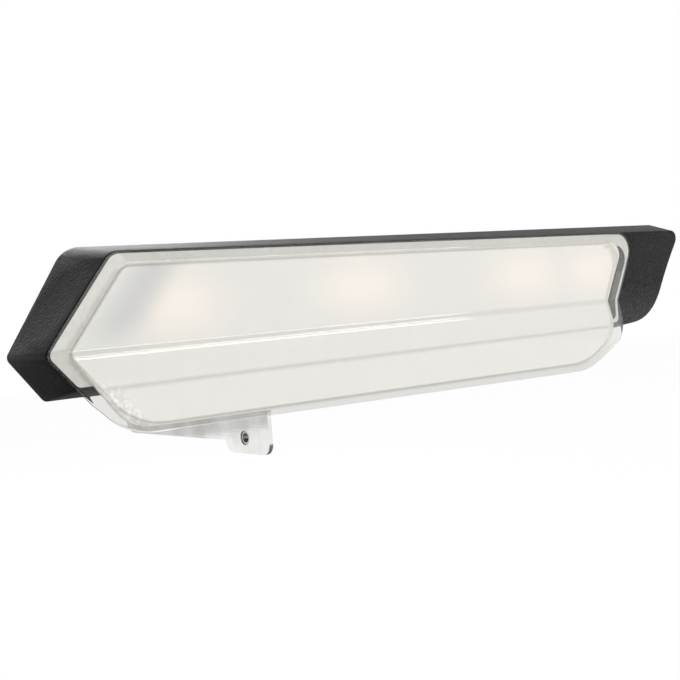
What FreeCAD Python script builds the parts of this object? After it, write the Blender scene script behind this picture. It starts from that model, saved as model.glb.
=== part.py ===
"""Slim vehicle front lamp: black housing, creased clear lens with a chin, bracket.

Frame: +X along the lamp (to the right seen from the front), +Y to the rear, +Z up.
The origin lies on the rear mounting plane, midway between the two threaded inserts.
All sizes are millimetres and stand in the sheet "sizes".
"""
import math
import os

import FreeCAD
import Part
import Sketcher

doc = FreeCAD.newDocument("front_lamp")
sheet = doc.addObject("Spreadsheet::Sheet", "sizes")

# Every independent size of the lamp, in millimetres.
SIZES = [
    # housing outline at the front rim, measured from the tip of the left end
    ("housing_depth", "26.5"),
    ("left_tip", "209.5"),
    ("rim_top", "38.4"),
    ("rim_bottom", "14"),
    ("tip_run_top", "31.2"),
    ("tip_run_low", "12.5"),
    ("right_top", "210"),
    ("right_run", "33.5"),
    # how far the rear outline stands outside the front rim
    ("flare_top_left", "3.7"),
    ("flare_top_right", "5.8"),
    ("flare_bottom", "4.4"),
    ("flare_tip", "2.9"),
    ("flare_left", "6"),
    ("flare_right", "17"),
    ("flare_low", "1"),
    ("wall", "2.6"),
    ("wall_end", "3.6"),
    ("front_wall", "4.5"),
    ("corner_top_left", "8"),
    ("corner_top_right", "5"),
    ("corner_low_right", "42"),
    ("corner_rear_left", "13"),
    ("corner_rear_right", "4.5"),
    ("corner_tip", "3"),
    # hollow in the front of the right-hand wing
    ("scoop_r", "150"),
    ("scoop_depth", "2"),
    ("scoop_mid", "12"),
    ("scoop_gap", "2.5"),
    # clear lens
    ("lens_margin", "0.4"),
    ("lens_depth", "4.6"),
    ("lens_right", "142.5"),
    ("lens_right_run", "21"),
    ("bevel_top", "6.1"),
    ("bevel_tip", "8.7"),
    ("bevel_right", "15.5"),
    ("bevel_low", "3.4"),
    ("bevel_corner_left", "3.1"),
    ("bevel_corner_right", "20.5"),
    ("chin_left", "33.4"),
    ("chin_right", "37.2"),
    ("chin_left_x", "179.5"),
    ("chin_right_x", "112"),
    ("chin_side_x", "148.5"),
    ("chin_side_z", "20"),
    ("lens_corner_left", "8"),
    ("lens_corner_right", "10"),
    ("chin_corner_left", "23"),
    ("chin_corner_side", "14"),
    ("chin_corner_right", "50"),
    ("crease_step", "0.9"),
    ("crease_half", "1.1"),
    ("groove_w", "2.4"),
    ("groove_d", "0.7"),
    ("groove_z", "14.2"),
    # frosted plate in the back of the lens
    ("plate_t", "2.2"),
    ("plate_gap", "0.3"),
    ("plate_top", "5.9"),
    ("plate_tip", "10"),
    ("plate_right", "12.6"),
    ("plate_low", "2.7"),
    ("plate_corner", "6"),
    # seal between the lens and the housing
    ("seal_in", "1.4"),
    ("seal_w", "6.4"),
    ("seal_right_in", "1.2"),
    ("seal_right_w", "2"),
    ("seal_deep", "1.2"),
    ("seal_low", "12.6"),
    ("seal_low_w", "2"),
    ("window_in", "1"),
    # reflector tray and what is fixed to its back
    ("tray_left", "164"),
    ("tray_right", "138"),
    ("tray_top", "27.5"),
    ("tray_low", "4"),
    ("rear_room", "12"),
    ("tray_wall", "1.6"),
    ("lip", "1.4"),
    ("lip_t", "1.2"),
    ("led_first", "150"),
    ("led_pitch", "92"),
    ("led_z", "18"),
    ("led_size", "5"),
    ("led_t", "1"),
    ("led_window", "8.4"),
    ("board_t", "1.6"),
    ("board_in", "2"),
    ("spreader_t", "1.5"),
    ("spreader_right", "52"),
    ("boss_r", "3"),
    ("boss_h", "4"),
    ("board_screw_r", "1.2"),
    ("board_screw_len", "6"),
    ("board_head_r", "2.4"),
    ("board_head_h", "1.6"),
    ("screw_gap", "0.1"),
    ("board_screw_left", "90"),
    ("board_screw_right", "4"),
    ("board_screw_z", "12"),
    ("chip_x", "70"),
    ("chip_w", "7"),
    ("chip_t", "1.6"),
    ("coil_x", "82"),
    ("coil_r", "4"),
    ("coil_h", "4.2"),
    ("cap_x", "116"),
    ("cap_pitch", "8"),
    ("cap_r", "3"),
    ("cap_h", "5.4"),
    ("part_z", "19"),
    # rear cover, its screws and pillars
    ("cover_t", "2.6"),
    ("cover_gap", "0.3"),
    ("pillar_r", "3.6"),
    ("pillar_left", "172"),
    ("pillar_low_left", "187"),
    ("pillar_right", "152"),
    ("pillar_top", "32.6"),
    ("pillar_low", "9.6"),
    ("cover_screw_r", "1.4"),
    ("cover_screw_len", "11"),
    ("cover_head_r", "2.8"),
    ("cover_head_h", "1.8"),
    ("post_w", "6"),
    ("post_x", "60"),
    ("post_z", "12"),
    ("post_out", "20"),
    # threaded inserts that carry the lamp
    ("insert_span", "220"),
    ("insert_r", "4.2"),
    ("thread_r", "2.5"),
    ("insert_len", "7"),
    ("insert_boss_w", "14"),
    # plug socket and its contacts
    ("socket_x", "100"),
    ("socket_z", "12"),
    ("socket_w", "24"),
    ("socket_h", "14"),
    ("socket_len", "16"),
    ("socket_wall", "2"),
    ("socket_floor", "2.5"),
    ("pin_w", "1.5"),
    ("pin_t", "0.8"),
    ("pin_pitch", "5.5"),
    ("pin_gap", "0.15"),
    ("pin_short", "5.5"),
    # breather
    ("vent_x", "30"),
    ("vent_z", "24"),
    ("vent_stem_r", "2.5"),
    ("vent_head_r", "6"),
    ("vent_head_h", "3"),
    # sheet bracket under the housing
    ("sheet_t", "2"),
    ("web_x", "108"),
    ("web_front", "24"),
    ("tab_rear", "9"),
    ("tab_low", "52"),
    ("arm_low", "46.6"),
    ("arm_top", "30"),
    ("arm_rear", "98"),
    ("tab_corner", "5"),
    ("arm_corner", "7"),
    ("arm_hole_r", "3.3"),
    ("arm_hole_in", "10"),
    ("pad_low", "20"),
    ("pad_top", "9.5"),
    ("pad_len", "28"),
    ("pad_front", "22"),
    ("pad_rear", "3"),
    ("foot_screw_r", "1.9"),
    ("foot_screw_len", "9"),
    ("foot_head_r", "3.6"),
    ("foot_head_h", "2.4"),
    ("foot_screw_pitch", "9"),
    ("nut_y", "6"),
    ("nut_z", "45"),
    ("nut_shank_r", "3.3"),
    ("nut_r", "4.8"),
    ("nut_h", "3.6"),
    ("nut_thread_r", "2.1"),
    ("nut_recess", "0.4"),
]
for row, (alias, value) in enumerate(SIZES, start=1):
    sheet.set(f"A{row}", alias)
    sheet.set(f"B{row}", value)
    sheet.setAlias(f"B{row}", alias)
doc.recompute()


def value(formula):
    """The number that a formula over the sheet's names comes to, for first drawing."""
    return float(sheet.evalExpression(formula))


def named(formula):
    """The formula with every sheet name written as sizes.NAME."""
    text = formula
    out = ""
    word = ""
    aliases = {alias for alias, _ in SIZES}
    for letter in text + " ":
        if letter.isalnum() or letter == "_":
            word += letter
            continue
        out += f"sizes.{word}" if word in aliases else word
        out += letter
        word = ""
    return out.strip()


def bind(item, prop, formula):
    """Drive one property of an object by a formula over the sheet."""
    item.setExpression(prop, named(formula))


def plane(body, role):
    """One of the body's own origin planes."""
    return [item for item in body.Origin.OriginFeatures if item.Role == role][0]


def new_body(name):
    """An empty body whose label is the name of its piece."""
    body = doc.addObject("PartDesign::Body", name)
    body.Label = name
    return body


def new_sketch(body, name, role, offset):
    """A sketch on an origin plane, moved along that plane's normal by a formula."""
    sketch = body.newObject("Sketcher::SketchObject", name)
    sketch.AttachmentSupport = [(plane(body, role), "")]
    sketch.MapMode = "FlatFace"
    bind(sketch, "AttachmentOffset.Base.z", f"({offset}) * 1 mm")
    return sketch


def polygon(body, name, role, offset, corners):
    """A closed outline whose every corner is placed by two formulas."""
    sketch = new_sketch(body, name, role, offset)
    add_outline(sketch, corners)
    return sketch


def add_outline(sketch, corners):
    """Add one closed outline of straight edges to a sketch."""
    spots = [FreeCAD.Vector(value(named(a)), value(named(b)), 0) for a, b in corners]
    count = len(spots)
    first = sketch.GeometryCount
    for i in range(count):
        sketch.addGeometry(Part.LineSegment(spots[i], spots[(i + 1) % count]))
    for i in range(count):
        after = first + (i + 1) % count
        sketch.addConstraint(Sketcher.Constraint("Coincident", first + i, 2, after, 1))
    for i, (a, b) in enumerate(corners):
        along = Sketcher.Constraint("DistanceX", -1, 1, first + i, 1, spots[i].x)
        bind(sketch, f"Constraints[{sketch.addConstraint(along)}]", a)
        across = Sketcher.Constraint("DistanceY", -1, 1, first + i, 1, spots[i].y)
        bind(sketch, f"Constraints[{sketch.addConstraint(across)}]", b)


def rounded(body, name, role, offset, corners, radii):
    """A closed clockwise outline whose corners are rounded by their own radii.

    Each sharp corner stays in the sketch as a construction point, placed by two
    formulas. The straight edges run through those points and the arcs touch the edges.
    """
    sketch = new_sketch(body, name, role, offset)
    spots = [FreeCAD.Vector(value(named(a)), value(named(b)), 0) for a, b in corners]
    count = len(spots)
    sizes = [value(named(radius)) for radius in radii]
    starts, ends, middles, turns = [], [], [], []
    for i, spot in enumerate(spots):
        before = (spots[i - 1] - spot).normalize()
        after = (spots[(i + 1) % count] - spot).normalize()
        half = before.getAngle(after) / 2
        run = sizes[i] / math.tan(half)
        ends.append(spot + before * run)
        starts.append(spot + after * run)
        middles.append(spot + (before + after).normalize() * (sizes[i] / math.sin(half)))
        turns.append(before.cross(after).z > 0)
    up = FreeCAD.Vector(0, 0, 1)
    for i in range(count):
        sketch.addGeometry(Part.LineSegment(starts[i], ends[(i + 1) % count]))
        k = (i + 1) % count
        ring = Part.Circle(middles[k], up, sizes[k])
        first = math.atan2(starts[k].y - middles[k].y, starts[k].x - middles[k].x)
        last = math.atan2(ends[k].y - middles[k].y, ends[k].x - middles[k].x)
        if not turns[k]:
            first, last = last, first
        sketch.addGeometry(Part.ArcOfCircle(ring, first, last))
    for i, (a, b) in enumerate(corners):
        point = sketch.addGeometry(Part.Point(spots[i]), True)
        along = Sketcher.Constraint("DistanceX", -1, 1, point, 1, spots[i].x)
        bind(sketch, f"Constraints[{sketch.addConstraint(along)}]", a)
        across = Sketcher.Constraint("DistanceY", -1, 1, point, 1, spots[i].y)
        bind(sketch, f"Constraints[{sketch.addConstraint(across)}]", b)
        line = 2 * i
        line_before = 2 * ((i - 1) % count)
        arc = line_before + 1
        first, last = (2, 1) if turns[i] else (1, 2)
        sketch.addConstraint(Sketcher.Constraint("Tangent", line_before, 2, arc, first))
        sketch.addConstraint(Sketcher.Constraint("Tangent", line, 1, arc, last))
        around = Sketcher.Constraint("Radius", arc, sizes[i])
        bind(sketch, f"Constraints[{sketch.addConstraint(around)}]", radii[i])
        sketch.addConstraint(Sketcher.Constraint("PointOnObject", point, 1, line))
        sketch.addConstraint(Sketcher.Constraint("PointOnObject", point, 1, line_before))
    return sketch


def rectangles(body, name, offset, width, height, centres):
    """A sketch of equal rectangles on the XZ plane, each centre placed by two formulas."""
    sketch = new_sketch(body, name, "XZ_Plane", offset)
    for x, z in centres:
        left, right = f"{x} - ({width}) / 2", f"{x} + ({width}) / 2"
        low, top = f"{z} - ({height}) / 2", f"{z} + ({height}) / 2"
        add_outline(sketch, [(left, top), (right, top), (right, low), (left, low)])
    return sketch


def circles(body, name, role, offset, radius, centres):
    """A sketch of equal circles, each centre placed by two formulas."""
    sketch = new_sketch(body, name, role, offset)
    for i, (a, b) in enumerate(centres):
        spot = FreeCAD.Vector(value(named(a)), value(named(b)), 0)
        sketch.addGeometry(Part.Circle(spot, FreeCAD.Vector(0, 0, 1), value(named(radius))))
        along = Sketcher.Constraint("DistanceX", -1, 1, i, 3, spot.x)
        bind(sketch, f"Constraints[{sketch.addConstraint(along)}]", a)
        across = Sketcher.Constraint("DistanceY", -1, 1, i, 3, spot.y)
        bind(sketch, f"Constraints[{sketch.addConstraint(across)}]", b)
        around = Sketcher.Constraint("Radius", i, value(named(radius)))
        bind(sketch, f"Constraints[{sketch.addConstraint(around)}]", radius)
    return sketch


def pad(body, name, sketch, length, back=False):
    """Extrude a sketch; back turns the direction round."""
    feature = body.newObject("PartDesign::Pad", name)
    feature.Profile = sketch
    bind(feature, "Length", length)
    feature.Reversed = back
    doc.recompute()
    return feature


def pocket(body, name, sketch, length, back=False):
    """Cut a sketch's shape out of the body and make sure that it did cut."""
    before = body.Shape.Volume
    feature = body.newObject("PartDesign::Pocket", name)
    feature.Profile = sketch
    bind(feature, "Length", length)
    feature.Reversed = back
    doc.recompute()
    if feature.Shape.Volume > before - 0.5:
        raise RuntimeError(f"{name} cuts nothing")
    return feature


def loft(body, name, first, second, cut=False):
    """A straight-sided loft between two outlines with the same corners."""
    kind = "PartDesign::SubtractiveLoft" if cut else "PartDesign::AdditiveLoft"
    feature = body.newObject(kind, name)
    feature.Profile = first
    feature.Sections = [second]
    feature.Ruled = True
    doc.recompute()
    return feature


def edges_near(shape, ends, reach=0.05):
    """Names of the edges that run between the two given points, in either order."""
    names = []
    for number, edge in enumerate(shape.Edges, start=1):
        if len(edge.Vertexes) != 2:
            continue
        a, b = edge.Vertexes[0].Point, edge.Vertexes[1].Point
        for p, q in ends:
            straight = a.distanceToPoint(p) < reach and b.distanceToPoint(q) < reach
            turned = a.distanceToPoint(q) < reach and b.distanceToPoint(p) < reach
            if straight or turned:
                names.append(f"Edge{number}")
    return names


def round_edges(body, name, base, radius, ends):
    """Round the edges of a feature that run between pairs of points."""
    names = edges_near(base.Shape, ends)
    if len(names) != len(ends):
        raise RuntimeError(f"{name}: {len(names)} of {len(ends)} edges found")
    feature = body.newObject("PartDesign::Fillet", name)
    feature.Base = (base, names)
    bind(feature, "Radius", radius)
    doc.recompute()
    return feature


def at(x, y, z):
    """A point from three formulas."""
    return FreeCAD.Vector(value(named(x)), value(named(y)), value(named(z)))


def place(item, x="0", y="0", z="0"):
    """Put an object's placement where three formulas say."""
    bind(item, "Placement.Base.x", f"({x}) * 1 mm")
    bind(item, "Placement.Base.y", f"({y}) * 1 mm")
    bind(item, "Placement.Base.z", f"({z}) * 1 mm")


def block(name, x, y, z, length, width, height):
    """A box from its least corner and three sizes, all formulas."""
    item = doc.addObject("Part::Box", name)
    bind(item, "Length", length)
    bind(item, "Width", width)
    bind(item, "Height", height)
    place(item, x, y, z)
    return item


TURNS = {
    "x": FreeCAD.Rotation(FreeCAD.Vector(0, 1, 0), 90),
    "y": FreeCAD.Rotation(FreeCAD.Vector(1, 0, 0), -90),
    "z": FreeCAD.Rotation(),
}


def rod(name, axis, x, y, z, radius, height):
    """A cylinder that starts at a point and runs along +X, +Y or +Z."""
    item = doc.addObject("Part::Cylinder", name)
    item.Placement.Rotation = TURNS[axis]
    bind(item, "Radius", radius)
    bind(item, "Height", height)
    place(item, x, y, z)
    return item


def fuse(name, items):
    """One solid from several that touch or overlap."""
    item = doc.addObject("Part::MultiFuse", name)
    item.Shapes = items
    item.Refine = True
    item.Label = name
    doc.recompute()
    return item


def cut(name, base, tools):
    """The base without the tools."""
    tool = tools[0]
    if len(tools) > 1:
        tool = doc.addObject("Part::Compound", f"{name}_tools")
        tool.Links = tools
    item = doc.addObject("Part::Cut", name)
    item.Base = base
    item.Tool = tool
    item.Refine = True
    item.Label = name
    doc.recompute()
    if item.Shape.Volume > base.Shape.Volume - 0.05:
        raise RuntimeError(f"{name} cuts nothing")
    return item


def common(name, first, second):
    """What two solids share."""
    item = doc.addObject("Part::Common", name)
    item.Base = first
    item.Tool = second
    doc.recompute()
    return item


def group(name, items):
    """Several equal pieces that share one name."""
    item = doc.addObject("Part::Compound", name)
    item.Links = items
    item.Label = name
    doc.recompute()
    return item


NODES = []


def keep(name, item):
    """Mark an object as one finished piece."""
    item.Label = name
    NODES.append((name, item))


# Levels along Y: the rear plane is 0 and the front rim is at -housing_depth.
RIM = "housing_depth"
INNER = "(housing_depth - front_wall)"
LENS_LEAN = "(lens_right_run / rim_top)"
TIP_LEAN = "(tip_run_top / rim_top)"
LOW_LEAN = "(tip_run_low / rim_bottom)"

# Housing

rim_corners = [
    ("tip_run_top - left_tip", "rim_top"),
    ("right_top", "rim_top"),
    ("right_top - right_run", "-rim_bottom"),
    ("tip_run_low - left_tip", "-rim_bottom"),
    ("-left_tip", "0"),
]
rear_corners = [
    ("tip_run_top - left_tip - flare_left", "rim_top + flare_top_left"),
    ("right_top + flare_right", "rim_top + flare_top_right"),
    ("right_top - right_run + flare_low", "-rim_bottom - flare_bottom"),
    ("tip_run_low - left_tip - flare_low", "-rim_bottom - flare_bottom"),
    ("-left_tip - flare_tip", "0"),
]


def inset(corners, side, level):
    """Housing corners moved inwards by a formula at the ends and one at top and bottom."""
    signs = [(1, -1), (-1, -1), (-1, 1), (1, 1), (1, 0)]
    out = []
    for (a, b), (along, up) in zip(corners, signs):
        x = f"{a} + {side}" if along > 0 else f"{a} - {side}"
        z = b
        if up:
            z = f"{b} + {level}" if up > 0 else f"{b} - {level}"
        out.append((x, z))
    return out


RIM_RADII = ["corner_top_left", "corner_top_right", "corner_low_right", "corner_tip", "corner_tip"]
REAR_RADII = ["corner_rear_left", "corner_rear_right", "corner_low_right", "corner_tip", "corner_tip"]


def inner_radii(radii):
    """Radii of an outline one wall inside another; the sharp tips keep theirs."""
    return [f"{radius} - wall" for radius in radii[:3]] + radii[3:]


shell = new_body("housing_shell")
rear_outline = rounded(shell, "shell_rear", "XZ_Plane", "0", rear_corners, REAR_RADII)
rim_outline = rounded(shell, "shell_rim", "XZ_Plane", RIM, rim_corners, RIM_RADII)
loft(shell, "shell_walls", rear_outline, rim_outline)

hollow = new_body("housing_hollow")
hollow_rear_corners = inset(rear_corners, "wall_end", "wall")
hollow_front_corners = inset(rim_corners, "wall_end", "wall")
hollow_rear = rounded(
    hollow, "hollow_rear", "XZ_Plane", "0", hollow_rear_corners, inner_radii(REAR_RADII)
)
hollow_front = rounded(
    hollow, "hollow_front", "XZ_Plane", INNER, hollow_front_corners, inner_radii(RIM_RADII)
)
loft(hollow, "hollow_space", hollow_rear, hollow_front)


def frame_corners(left, right, level, low):
    """Corners of a frame that follows the lens, inset at its ends, top and bottom."""
    top = f"(rim_top - {level})"
    return [
        (f"{TIP_LEAN} * {top} - left_tip + {left}", top),
        (f"lens_right + {LENS_LEAN} * {top} - {right}", top),
        (f"lens_right - {right}", "0"),
        (f"lens_right - {right}", f"-{low}"),
        (f"{LOW_LEAN} * {low} - left_tip + {left}", f"-{low}"),
        (f"{left} - left_tip", "0"),
    ]


# An inset measured along X is 1.6 times the inset square to the slanted ends.
SEAL_OUT = frame_corners("(1.6 * seal_in)", "seal_right_in", "seal_in", "seal_low")
SEAL_INNER = frame_corners(
    "(1.6 * (seal_in + seal_w))",
    "(seal_right_in + seal_right_w)",
    "(seal_in + seal_w)",
    "(seal_low - seal_low_w)",
)
WINDOW_INSET = "(1.6 * (seal_in + seal_w + window_in))"
WINDOW = frame_corners(
    WINDOW_INSET,
    WINDOW_INSET,
    "(seal_in + seal_w + window_in)",
    "(seal_low - seal_low_w - 0.5 * window_in)",
)
SEAL_OUT_RADII = ["corner_top_left - seal_in", "lens_corner_right - seal_right_in"]
SEAL_OUT_RADII += ["corner_tip"] * 4
SEAL_INNER_RADII = ["corner_tip", "lens_corner_right - seal_right_in - seal_right_w"]
SEAL_INNER_RADII += ["corner_tip"] * 4

window = new_body("housing_window")
opening = polygon(window, "window_outline", "XZ_Plane", f"{INNER} - 1", WINDOW)
pad(window, "window_cut", opening, "front_wall + 2")


def seal_ring(name, start, depth):
    """The ring of the seal, or of its groove, from a level forwards."""
    blocks = []
    for side, corners, radii in [
        ("outside", SEAL_OUT, SEAL_OUT_RADII),
        ("inside", SEAL_INNER, SEAL_INNER_RADII),
    ]:
        body = new_body(f"{name}_{side}")
        outline = rounded(body, f"{name}_{side}_outline", "XZ_Plane", start, corners, radii)
        pad(body, f"{name}_{side}_block", outline, depth)
        blocks.append(body)
    return cut(f"{name}_ring", blocks[0], blocks[1:])


groove = seal_ring("seal_groove", f"{RIM} - seal_deep", "seal_deep + 1")

# The wing's hollow is the part of a long cylinder that lies beyond the lens.
scoop_rod = rod(
    "scoop_rod",
    "x",
    "lens_right - 40",
    "scoop_depth - housing_depth - scoop_r",
    "scoop_mid",
    "scoop_r",
    "right_top + flare_right - lens_right + 60",
)
wing = new_body("wing_area")
wing_outline = polygon(
    wing,
    "wing_outline",
    "XZ_Plane",
    f"{RIM} - scoop_depth - 1",
    [
        (f"lens_right + scoop_gap + {LENS_LEAN} * (rim_top + flare_top_right)", "rim_top + flare_top_right"),
        ("right_top + flare_right", "rim_top + flare_top_right"),
        ("right_top + flare_right", "-rim_bottom - flare_bottom"),
        ("lens_right + scoop_gap", "-rim_bottom - flare_bottom"),
        ("lens_right + scoop_gap", "0"),
    ],
)
pad(wing, "wing_block", wing_outline, "scoop_depth + 3")
scoop = common("scoop", scoop_rod, wing)

PILLARS = [
    ("-pillar_left", "pillar_top"),
    ("pillar_right", "pillar_top"),
    ("-pillar_low_left", "-pillar_low"),
    ("pillar_right", "-pillar_low"),
]
pillars = []
for i, (x, z) in enumerate(PILLARS):
    pillars.append(
        rod(f"pillar_{i}", "y", x, f"-{INNER} - 1", z, "pillar_r", f"{INNER} + 1 - cover_t")
    )
foot_pad = block(
    "foot_pad",
    "sheet_t - web_x",
    "-pad_front",
    "-pad_low",
    "pad_len",
    "pad_front - pad_rear",
    "pad_low - pad_top",
)
walls = cut("housing_walls", shell, [hollow])
pillar_set = group("pillar_set", pillars)
inside = common("pillars_inside", pillar_set, shell)
filled = fuse("housing_filled", [walls, inside, foot_pad])

pillar_holes = []
for i, (x, z) in enumerate(PILLARS):
    pillar_holes.append(
        rod(
            f"pillar_hole_{i}",
            "y",
            x,
            "-cover_t - cover_screw_len + cover_t - 1",
            z,
            "cover_screw_r",
            "cover_screw_len + 1",
        )
    )
FOOT_X = "(sheet_t - web_x + pad_len / 2)"
FOOT_Y = ["(-(pad_front + pad_rear) / 2 - foot_screw_pitch / 2)"]
FOOT_Y.append("(-(pad_front + pad_rear) / 2 + foot_screw_pitch / 2)")
foot_holes = []
for i, y in enumerate(FOOT_Y):
    foot_holes.append(
        rod(f"foot_hole_{i}", "z", FOOT_X, y, "-pad_low - 1", "foot_screw_r", "foot_screw_len")
    )
housing = cut(
    "housing_body", filled, [window, groove, scoop] + pillar_holes + foot_holes
)
keep("housing", housing)

lens_seal = seal_ring("lens_seal", f"{RIM} - seal_deep", "seal_deep")
keep("lens_seal", lens_seal)

# Clear lens: a bevelled block with a chin, creased across its face

lens_rim = [
    ("tip_run_top - left_tip + lens_margin", "rim_top - lens_margin"),
    ("lens_right + lens_right_run", "rim_top - lens_margin"),
    ("lens_right", "0"),
    ("chin_side_x", "-chin_side_z"),
    ("chin_right_x", "-chin_right"),
    ("-chin_left_x", "-chin_left"),
    ("lens_margin - left_tip", "0"),
]
lens_face = [
    ("tip_run_top - left_tip + bevel_corner_left", "rim_top - bevel_top"),
    ("lens_right + lens_right_run - bevel_corner_right", "rim_top - bevel_top"),
    ("lens_right - bevel_right", "0"),
    ("chin_side_x - bevel_right", "-chin_side_z + 0.6 * bevel_low"),
    ("chin_right_x - 0.4 * bevel_right", "-chin_right + 1.4 * bevel_low"),
    ("-chin_left_x + 1.1 * bevel_low", "-chin_left + bevel_low"),
    ("bevel_tip - left_tip", "0"),
]
LENS_RADII = [
    "lens_corner_left",
    "lens_corner_right",
    "corner_tip",
    "chin_corner_side",
    "chin_corner_right",
    "chin_corner_left",
    "corner_tip",
]
clear = new_body("lens_blank")
lens_back = rounded(clear, "lens_back", "XZ_Plane", RIM, lens_rim, LENS_RADII)
lens_front = rounded(
    clear, "lens_front", "XZ_Plane", f"{RIM} + lens_depth", lens_face, LENS_RADII
)
loft(clear, "lens_form", lens_back, lens_front)

# The upper half of the face stands a little behind the lower half, with a sloped ledge between.
step_profile = polygon(
    clear,
    "crease_profile",
    "YZ_Plane",
    "-left_tip - 5",
    [
        (f"-{RIM} - lens_depth - 2", "rim_top + 10"),
        (f"-{RIM} - lens_depth + crease_step", "rim_top + 10"),
        (f"-{RIM} - lens_depth + crease_step", "crease_half"),
        (f"-{RIM} - lens_depth", "-crease_half"),
        (f"-{RIM} - lens_depth - 2", "-crease_half"),
    ],
)
pocket(clear, "crease_cut", step_profile, "2 * left_tip + 10", True)
groove_profile = polygon(
    clear,
    "groove_profile",
    "YZ_Plane",
    "-left_tip + bevel_tip + 4",
    [
        (f"-{RIM} - lens_depth - 0.5", "-groove_z + groove_w / 2"),
        (f"-{RIM} - lens_depth", "-groove_z + groove_w / 2"),
        (f"-{RIM} - lens_depth + groove_d", "-groove_z"),
        (f"-{RIM} - lens_depth", "-groove_z - groove_w / 2"),
        (f"-{RIM} - lens_depth - 0.5", "-groove_z - groove_w / 2"),
    ],
)
pocket(
    clear,
    "groove_cut",
    groove_profile,
    "left_tip + lens_right - bevel_tip - bevel_right - 4",
    True,
)


def plate_corners(gap):
    """Corners of the frosted plate, or of its seat in the lens with a gap around it."""
    top = f"(rim_top - plate_top + {gap})"
    return [
        (f"{TIP_LEAN} * {top} - left_tip + plate_tip - {gap}", top),
        (f"lens_right + {LENS_LEAN} * {top} - plate_right + {gap}", top),
        (f"lens_right - plate_right + {gap}", "0"),
        (f"chin_side_x - plate_right + {gap}", "-chin_side_z + 0.6 * plate_low"),
        (f"chin_right_x - 0.4 * plate_right + {gap}", f"-chin_right + 1.4 * plate_low - {gap}"),
        (f"-chin_left_x + 1.2 * plate_low - {gap}", f"-chin_left + plate_low - {gap}"),
        (f"plate_tip - left_tip - {gap}", "0"),
    ]


PLATE_RADII = [
    "plate_corner",
    "plate_corner",
    "corner_tip",
    "chin_corner_side - 2",
    "chin_corner_right - 6",
    "chin_corner_left - 4",
    "corner_tip",
]


def plate_body(name, gap, extra):
    """The frosted plate's block, reaching back by an extra depth."""
    body = new_body(name)
    sketch = rounded(
        body, f"{name}_outline", "XZ_Plane", f"{RIM} - {extra}", plate_corners(gap), PLATE_RADII
    )
    pad(body, f"{name}_block", sketch, f"plate_t + {extra}")
    return body


seat = plate_body("plate_seat", "plate_gap", "1")
lens = cut("lens_cut", clear, [seat])
keep("outer_lens", lens)
plate = plate_body("inner_diffuser", "0", "0")
keep("inner_diffuser", plate)

# Reflector tray behind the window

TRAY_FRONT = INNER
TRAY_BACK = "rear_room"
tray = new_body("reflector_tray")
lip_sketch = polygon(
    tray,
    "tray_lip",
    "XZ_Plane",
    f"{TRAY_FRONT} - lip_t",
    [
        ("-tray_left - lip", "tray_top + lip"),
        ("tray_right + lip", "tray_top + lip"),
        ("tray_right + lip", "-tray_low - lip"),
        ("-tray_left - lip", "-tray_low - lip"),
    ],
)
pad(tray, "tray_lip_pad", lip_sketch, "lip_t")
tray_box = [
    ("-tray_left", "tray_top"),
    ("tray_right", "tray_top"),
    ("tray_right", "-tray_low"),
    ("-tray_left", "-tray_low"),
]
box_sketch = polygon(tray, "tray_box", "XZ_Plane", TRAY_BACK, tray_box)
pad(tray, "tray_box_pad", box_sketch, f"{TRAY_FRONT} - rear_room")
space_back = polygon(
    tray,
    "tray_floor",
    "XZ_Plane",
    f"{TRAY_BACK} + tray_wall",
    [
        ("-tray_left + 3 * tray_wall", "tray_top - 3 * tray_wall"),
        ("tray_right - 3 * tray_wall", "tray_top - 3 * tray_wall"),
        ("tray_right - 3 * tray_wall", "-tray_low + 3 * tray_wall"),
        ("-tray_left + 3 * tray_wall", "-tray_low + 3 * tray_wall"),
    ],
)
space_front = polygon(
    tray,
    "tray_mouth",
    "XZ_Plane",
    TRAY_FRONT,
    [
        ("-tray_left + tray_wall", "tray_top - tray_wall"),
        ("tray_right - tray_wall", "tray_top - tray_wall"),
        ("tray_right - tray_wall", "-tray_low + tray_wall"),
        ("-tray_left + tray_wall", "-tray_low + tray_wall"),
    ],
)
loft(tray, "tray_space", space_back, space_front, cut=True)
LED_X = [f"(-led_first + {i} * led_pitch)" for i in range(4)]
BOARD_SCREWS = [
    ("-board_screw_left", "board_screw_z"),
    ("board_screw_right", "board_screw_z"),
]
bosses = circles(tray, "tray_bosses", "XZ_Plane", f"{TRAY_BACK} + tray_wall / 2", "boss_r", BOARD_SCREWS)
pad(tray, "tray_boss_pads", bosses, "boss_h")
LEDS = [(x, "led_z") for x in LED_X]
led_holes = rectangles(tray, "tray_windows", f"{TRAY_BACK} - 1", "led_window", "led_window", LEDS)
pocket(tray, "tray_led_cut", led_holes, "tray_wall + 2", True)
boss_holes = circles(
    tray, "tray_boss_holes", "XZ_Plane", f"{TRAY_BACK} - 1", "board_screw_r", BOARD_SCREWS
)
pocket(tray, "tray_boss_cut", boss_holes, "board_screw_len - board_t - spreader_t + 1.5", True)
keep("reflector_tray", tray)

# Circuit board, light sources and driver

BOARD_FRONT = f"(-{TRAY_BACK})"
BOARD_BACK = f"({BOARD_FRONT} + board_t)"
SPREADER_BACK = f"({BOARD_BACK} + spreader_t)"
board_blank = block(
    "board_blank",
    "-tray_left + board_in",
    BOARD_FRONT,
    "-tray_low + board_in",
    "tray_left + tray_right - 2 * board_in",
    "board_t",
    "tray_low + tray_top - 2 * board_in",
)
board_holes = []
for i, (x, z) in enumerate(BOARD_SCREWS):
    board_holes.append(
        rod(f"board_hole_{i}", "y", x, f"{BOARD_FRONT} - 1", z, "board_screw_r + screw_gap", "board_t + 2")
    )
keep("led_board", cut("led_board", board_blank, board_holes))

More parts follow.
